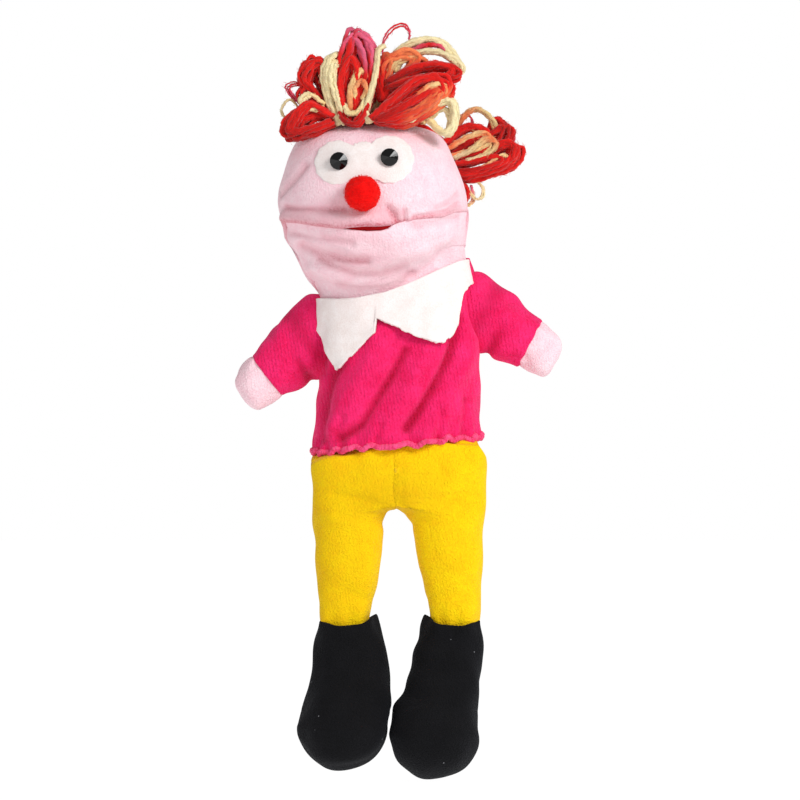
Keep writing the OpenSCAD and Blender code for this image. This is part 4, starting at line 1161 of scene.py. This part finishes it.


# %% [markdown]
# ## Arms
#
# Each arm is a short stuffed tube of velour with a mitten hand. The sleeve swings at its armhole,
# but here it is one fixed piece, and only the mitten rides on the arm.

# %% Sleeve and hand shapes
def limb_frame(side):
    """The foot, direction and crossways direction of an arm: it points from its pivot to the hand."""
    foot = pivots["shoulder_left" if side < 0 else "shoulder_right"]
    hand = "hand_left" if side < 0 else "hand_right"
    middle = (low(hand) + high(hand)) / 2
    along = (middle - foot) * np.array([1, 0, 1])
    along /= np.linalg.norm(along)
    across = np.array([-along[2], 0, along[0]]) * side
    return foot, along, across


def along_limb(side, table, cols, squareness=2.2, rows=60):
    """A closed skin along an arm, from rows of [distance, shift across, half width, half depth]."""
    foot, along, across = limb_frame(side)
    r = spline(table, rows)
    a = np.linspace(0, 2 * np.pi, cols, endpoint=False)
    c, s = around(a, squareness)
    centre = foot + r[:, :1] * along + r[:, 1:2] * across
    depth = np.array([0, -side, 0])
    return (centre[:, None] + (c[None] * r[:, 2:3])[..., None] * across
            + (s[None] * r[:, 3:4])[..., None] * depth), r


def sleeve(side, name, nodes):
    """A tapering tube with folds where it is gathered at the armhole and at the cuff."""
    table = [[-30, 1, 17, 12], [-24, 1, 21, 15.5], [-16, 1, 21.4, 15.8], [-8, 0.8, 20.6, 15.6],
             [0, 0.5, 19.6, 15.2], [8, 0, 18, 14.6], [15, 0, 16.4, 13.6], [20, 0, 15, 12.8],
             [22.6, 0, 14.4, 12.2], [23.4, 0, 12.6, 10.4]]
    grid, r = along_limb(side, table, 120, rows=70)
    n = outward(grid)
    n *= np.sign((n * (grid - grid.mean(1, keepdims=True))).sum(-1).mean())
    d = r[:, :1] * np.ones(120)
    a = np.linspace(0, 2 * np.pi, 120, endpoint=False)[None]
    folds = 1.2 * np.exp(-((d - 3) / 6) ** 2) * np.sin(a * 5 + side + 0.14 * d)
    folds += 0.2 * np.exp(-((d - 21) / 3) ** 2) * np.sin(a * 9 + 2)
    deep = -2.4 * np.exp(-((d - 4.5) / 3.0) ** 2) * np.exp(-((np.cos(a) + 0.75) / 0.6) ** 2)
    uneven = rumple(grid[..., 0], grid[..., 1], grid[..., 2], 14, 0.45, 31 + side)
    grid = grid + n * (folds + deep + uneven)[..., None]
    # Painted shade: darker in the dent at the armhole and on the root that goes into the jacket.
    obj = paint_shade(skin(name, grid), -0.34 * deep + 0.5 * np.exp(-((d + 8) / 5) ** 2))
    dress(obj, jacket_velour, "magenta_velour", None, *nodes)
    foot, along, _ = limb_frame(side)
    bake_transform(obj)
    return obj


def hand(side, name, nodes):
    """A mitten: it swells past the cuff seam and ends round."""
    table = [[20.6, 0, 11.0, 9], [22.0, 0, 13.2, 10.8], [26, 0, 13.9, 11.6], [31, -0.4, 13.5, 11.4],
             [35.5, -1.0, 12.6, 10.6], [38.8, -1.6, 11.2, 9.0], [40.9, -1.9, 7.8, 6.0],
             [41.6, -2.0, 3.0, 2.6]]
    grid, r = along_limb(side, table, 100, squareness=2.35, rows=56)
    n = outward(grid)
    n *= np.sign((n * (grid - grid.mean(1, keepdims=True))).sum(-1).mean())
    swell = rumple(grid[..., 0], grid[..., 1], grid[..., 2], 12, 0.4, 40 + side)
    a = np.linspace(0, 2 * np.pi, 100, endpoint=False)[None]
    swell = swell + 0.5 * np.exp(-((r[:, :1] - 24) / 2.2) ** 2) * np.sin(a * 8)
    swell = swell - 0.7 * np.exp(-(np.sin(a) / 0.10) ** 2) * smoothstep(r[:, :1], 24, 34)
    obj = skin(name, grid + n * swell[..., None])
    dress(obj, skin_velour, "skin_velour", "left_arm" if side < 0 else "right_arm", *nodes)
    return obj


# %% Arms
for side, word in ((-1, "left"), (1, "right")):
    sleeve(side, f"sleeve_velour_{word}", [f"sleeve_{word}", f"arm_stuffing_{word}"])
    hand(side, f"mitten_{word}", [f"hand_{word}"])

# %% [markdown]
# ## Trousers
#
# The trousers are two stuffed halves, joined down the middle of the seat. They are sewn to the front
# of the hem, so the seat swings there, and each leg swings at the hip and inside its boot, but here
# each half is one fixed piece. It is one grid, because its cloth runs from the hem to the boot with no seam.

# %% Trouser outlines
hip = pivots["hip_left"]
ankle_z = pivots["ankle_left"][2]
leg_y = hip[1]
outer_left = [[8, -44], [0, -46.5], [-8, -49.2], [-16, -49.8], [-32, -49.0], [-44, -48.4], [-54, -47.8],
              [-77, -46.2], [-94, -45.2], [-108, -44]]
outer_right = [[8, 44], [0, 46.5], [-8, 49.0], [-16, 49.8], [-32, 48.6], [-44, 47.8], [-54, 47.2],
               [-77, 46.8], [-94, 46.2], [-108, 45]]
inner_left = [[-34, 0.8], [-36, -1.5], [-37, -4.0], [-38.5, -5.8], [-40.4, -6.9], [-44, -8.2], [-54, -9.4],
              [-66, -10.8], [-77, -11.8], [-94, -15.8], [-108, -17]]
inner_right = [[-34, -3.8], [-36, -2.0], [-37, 0.6], [-38.5, 2.6], [-40.4, 3.9], [-44, 6.2], [-54, 9],
               [-66, 11.4], [-77, 13.6], [-94, 17], [-108, 18]]
crotch_x = -1.5  # the middle of the arch between the legs


def read(table, z):
    """The spline of a two-column table, read at heights z."""
    return grid_rows(table, 200, z)[0]


def half(side, name, nodes, body):
    """Half of the trousers, from the hem to the boot. Above the crotch its section is half of the hips'
    rounded rectangle, closed by a flat wall at the centre seam. Below it is the leg's own oval, and the
    two mix over a short height."""
    cols, rows = 180, 190
    a = np.linspace(-np.pi, np.pi, cols, endpoint=False)
    top = 6.0
    z = np.linspace(ankle_z - 6, top, rows)[:, None] * np.ones(cols)
    c, s = around(a, 2.25)
    outer = read(outer_left if side < 0 else outer_right, z)
    inner = read(inner_left if side < 0 else inner_right, np.minimum(z, -34))
    depth = np.interp(z[:, 0], [ankle_z - 6, ankle_z + 6, -77, -54, -40, -26, -16, -9, -3, top],
                      [9.6, 10.9, 12.4, 13.8, 14.4, 14.4, 13.2, 10.0, 4.0, 1.5])[:, None]
    shifts = [leg_y, leg_y, leg_y - 1.0, leg_y - 4.5, leg_y - 5]
    middle = np.interp(z[:, 0], [-200, -18, -9, -3, top], shifts)[:, None]
    leg_x = (outer + inner) / 2 + side * c * np.abs(outer - inner) / 2
    oval_y = middle + s * depth
    ch, sh = around(a, 2.5)
    wall = crotch_x - 1.2 * side
    seat_x = wall + np.maximum(ch, 0) * (outer - wall)
    narrow = np.interp(z[:, 0], [-40, -8, 0, top], [1, 1, 0.95, 0.84])[:, None]
    seat_y = middle + sh * depth * (1 - 0.05 * np.exp(-(seat_x / 1.5) ** 2))
    hem = hem_slope * seat_x
    under = -32.4 * (1 - np.minimum(np.abs(seat_x) / 49.5, 1) ** 2.45) ** (1 / 2.45)
    seat_y = np.maximum(seat_y, under + 6.2 - 60 * smoothstep(hem - z, 0.5, 16))
    k = smoothstep(z, -40.5, -34)
    grid = np.stack([leg_x * (1 - k) + seat_x * narrow * k, oval_y * (1 - k) + seat_y * k, z], -1)
    if side < 0:
        grid = grid[:, ::-1]
    n = outward(grid)
    x, y = grid[..., 0], grid[..., 1]
    inside = 1 - 0.85 * np.exp(-(x / 2.5) ** 2)
    f = rumple(x, y, z, 19, 0.55, 61 + side)
    f = f + 0.5 * np.sin(np.arctan2(y - leg_y, x - 30 * side) * 7 + 1) * np.exp(-((z - ankle_z) / 9) ** 2)
    f = f + ridge(x, z, [(side * 5, -38), (side * 18, -32), (side * 36, -29)], 2.6, -1.1)
    f = f + ridge(x, z, [(side * 7, -46), (side * 20, -44), (side * 34, -40)], 2.6, -0.8)
    f = f + ridge(x, z, [(side * 8, -15), (side * 22, -17), (side * 40, -14)], 5.0, 0.8)
    f = f + ridge(x, z, [(side * 14, -70), (side * 28, -66), (side * 42, -72)], 5.0, 0.6)
    f = f + ridge(x, z, [(side * 18, -88), (side * 30, -84), (side * 42, -90)], 3.0, -0.7)
    f = f + 2.0 * ridge(x, z, [(-2, -30), (side * 9, -31)], 6.0, 0.5)
    obj = skin(name, grid + n * (f * inside)[..., None])
    # Painted shade: darker towards the left, the side away from the key lamp. The patch round the crotch is
    # darker too.
    paint_shade(obj, 0.4 * np.exp(-((x - 1) / 22) ** 2 - ((z + 30) / 14) ** 2) + 0.22 * smoothstep(-x, -5, 50))
    dress(obj, trouser_fleece, "yellow_fleece", None, *nodes)
    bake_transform(obj)


for side, word in ((-1, "left"), (1, "right")):
    nodes = [f"trouser_leg_{word}", f"leg_stuffing_{word}"]
    if side < 0:
        nodes += ["trouser_seat", "seat_stuffing"]
    half(side, f"trouser_fleece_{word}", nodes, f"{word}_leg")

# %% [markdown]
# ## Boots
#
# Each boot is a stuffed sack of black velour with its top edge turned over the end of the leg. The
# toe is the roundest and heaviest part, so it hangs lowest.

# %% Boots
boot_shaft = {  # height, left, right, front, back: from the widest part of the toe up to the rim
    -1: [[-159, -57, -7, -57, -2], [-145, -53, -5, -49, -4], [-128, -49.5, -5.5, -39, -5],
         [-113, -47.5, -8, -35, -5.5], [-101.5, -45, -13, -34.5, -6]],
    1: [[-163.5, -5.5, 44.5, -57, -2], [-149, -3, 44, -51, -4], [-138, 3.5, 45, -44, -5],
        [-113, 9.5, 47.5, -35, -5.5], [-101.5, 14, 45.5, -34.5, -6]]}
toe_drop = 25  # the toe is round, and ends this far below its widest part


def boot_rows(side):
    """Rows of the boot from its sole to its rim. Below its widest part the toe is a ball: at each turn
    its size is the sine, and its drop is the cosine, of the angle from straight down."""
    shaft = spline(boot_shaft[side], 66)
    widest = shaft[:1]
    middle = np.array([[widest[0, 0]] + [widest[0, 1:3].mean()] * 2 + [widest[0, 3:5].mean()] * 2])
    turn = np.linspace(0.08, np.pi / 2, 45)[:, None]
    ball = middle + (widest - middle) * np.sin(turn)
    ball[:, :1] = widest[0, 0] - toe_drop * np.cos(turn)
    return np.concatenate([ball, shaft[1:]])


rim_from, rim_to = -114, -100.5  # heights between which the rim's shape grows


def boot(side, name, nodes, body):
    """A sack: rows climb from the sole to the rim, which rises at each side and turns inwards."""
    cols = 160
    a = np.linspace(0, 2 * np.pi, cols, endpoint=False)
    c, s = around(a, 2.2)
    r = boot_rows(side)
    x = (r[:, 1:2] + r[:, 2:3]) / 2 + c * (r[:, 2:3] - r[:, 1:2]) / 2
    y = (r[:, 3:4] + r[:, 4:5]) / 2 + s * (r[:, 4:5] - r[:, 3:4]) / 2
    rim = smoothstep(r[:, :1], rim_from, rim_to)
    ear = np.clip(-side * c, 0, 1) ** 2
    waves = 3.2 * ear + 0.8 * np.abs(c) ** 3 - 1.8 * np.abs(s) ** 2 + 0.25 * np.sin(a * 7 + side)
    z = r[:, :1] + rim * waves
    grid = np.stack([x, y, z], -1)
    n = outward(grid)
    f = rumple(x, y, z, 20, 0.7, 71 + side) + 0.8 * rim * np.sin(a * 6 + 1 + side)
    toe_seam = -150 - 0.25 * (y + 30)
    f = f - 0.35 * np.exp(-((z - toe_seam) / 1.6) ** 2) * smoothstep(-y, 18, 34)
    grid = grid + n * f[..., None]
    middle = grid[-1:].mean(1, keepdims=True)
    turned = [grid[-1:] + (middle - grid[-1:]) * w + np.array([0, 0, dz])
              for w, dz in ((0.04, 0.9), (0.09, 0.7), (0.13, -0.6), (0.14, -4.0))]
    obj = skin(name, np.concatenate([grid] + turned), ends=(True, False))
    dress(obj, boot_velour, "black_velour", None, *nodes)
    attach(obj, body)
    return obj


for side, word in ((-1, "left"), (1, "right")):
    boot(side, f"boot_velour_{word}", [f"boot_{word}", f"boot_stuffing_{word}"], f"{word}_boot")

# %% [markdown]
# ## Hidden pieces
#
# The frame's own boards, foam and stuffing have the right shape already. They are seen only when the
# mouth opens or the hand looks in through the hem, so they keep their shapes and get real finishes.

# %% Finishes for the hidden pieces
inside = {
    bare_board: ["mouth_board_upper", "mouth_board_lower"],
    red_felt: ["mouth_lining_upper", "mouth_lining_lower", "mouth_hinge_tape", "hair_tape"],
    cut_foam: ["head_foam", "jaw_foam"],
    white_elastic: ["neck_elastic"],
}
for mat, nodes in inside.items():
    for node in nodes:
        for holder in frame["nodes"][node].material_slots:
            holder.material = mat
print("finished", sum(len(v) for v in inside.values()), "hidden pieces")

# %% [markdown]
# ## Studio
#
# A pale floor and a white surround, a large soft lamp on the right and a weaker one on the left.
# The view transform is Standard, because saturated cloth is the point of this toy and the filmic
# one would wash its magenta and yellow out.

# %% Floor and surround
reach, floor_z = 4000, -190
floor_corners = [[x * reach, y * reach, floor_z] for x, y in ((-1, -1), (1, -1), (1, 1), (-1, 1))]
floor = make_mesh("floor", floor_corners, [[[0, 1, 2, 3]]])
paper = bpy.data.materials.new("white paper")
paper.use_nodes = True
tree = paper.node_tree
glow = add(tree, "ShaderNodeEmission", Color=(1, 1, 1, 1), Strength=1.1)
matt = add(tree, "ShaderNodeBsdfDiffuse", Color=(0.8, 0.8, 0.8, 1))
mixed = add(tree, "ShaderNodeMixShader", [(1, matt.outputs[0]), (2, glow.outputs[0])], Fac=0.9)
tree.links.new(mixed.outputs[0], tree.nodes["Material Output"].inputs["Surface"])
floor.data.materials.append(paper)

world = bpy.data.worlds.new("studio")
scene.world = world
world.use_nodes = True
tree = world.node_tree
seen = add(tree, "ShaderNodeLightPath")
level = add(tree, "ShaderNodeMapRange", [("Value", seen.outputs["Is Camera Ray"])])
level.inputs["To Min"].default_value = 0.42
level.inputs["To Max"].default_value = 1.0
background = tree.nodes["Background"]
background.inputs["Color"].default_value = (1, 1, 1, 1)
tree.links.new(level.outputs[0], background.inputs["Strength"])


# %% Lamps
def lamp(name, place, aim, size, power):
    """A square soft lamp, in metres and watts, that faces a point."""
    data = bpy.data.lights.new(name, "AREA")
    data.size = size
    data.energy = power
    obj = bpy.data.objects.new(name, data)
    obj.location = place
    obj.rotation_euler = (Vector(aim) - Vector(place)).to_track_quat("-Z", "Y").to_euler()
    scene.collection.objects.link(obj)


lamp("key lamp", (1.1, -1.2, 1.0), (0, 0, 0.03), 0.7, 24)
lamp("fill lamp", (-1.2, -1.5, 0.2), (0, 0, 0.03), 1.0, 3)

# %% [markdown]
# ## Camera
#
# The toy is seen straight from the front, from far enough away that near and far parts of it are
# drawn to nearly the same scale.

# %% Camera
camera = bpy.data.objects.new("camera", bpy.data.cameras.new("camera"))
scene.collection.objects.link(camera)
scene.camera = camera
distance = 2.4
field = 0.4494  # metres across the view, measured at the front of the toy
front_depth = 0.03  # the front of the toy is this far before its middle
sensor = 36
aim_x, aim_z = 0.00056, 0.0242
camera.location = (aim_x, -distance, aim_z)
camera.rotation_euler = (math.radians(90), 0, 0)
camera.data.sensor_width = sensor
camera.data.lens = sensor * (distance - front_depth) / field
scene.view_settings.view_transform = "Standard"
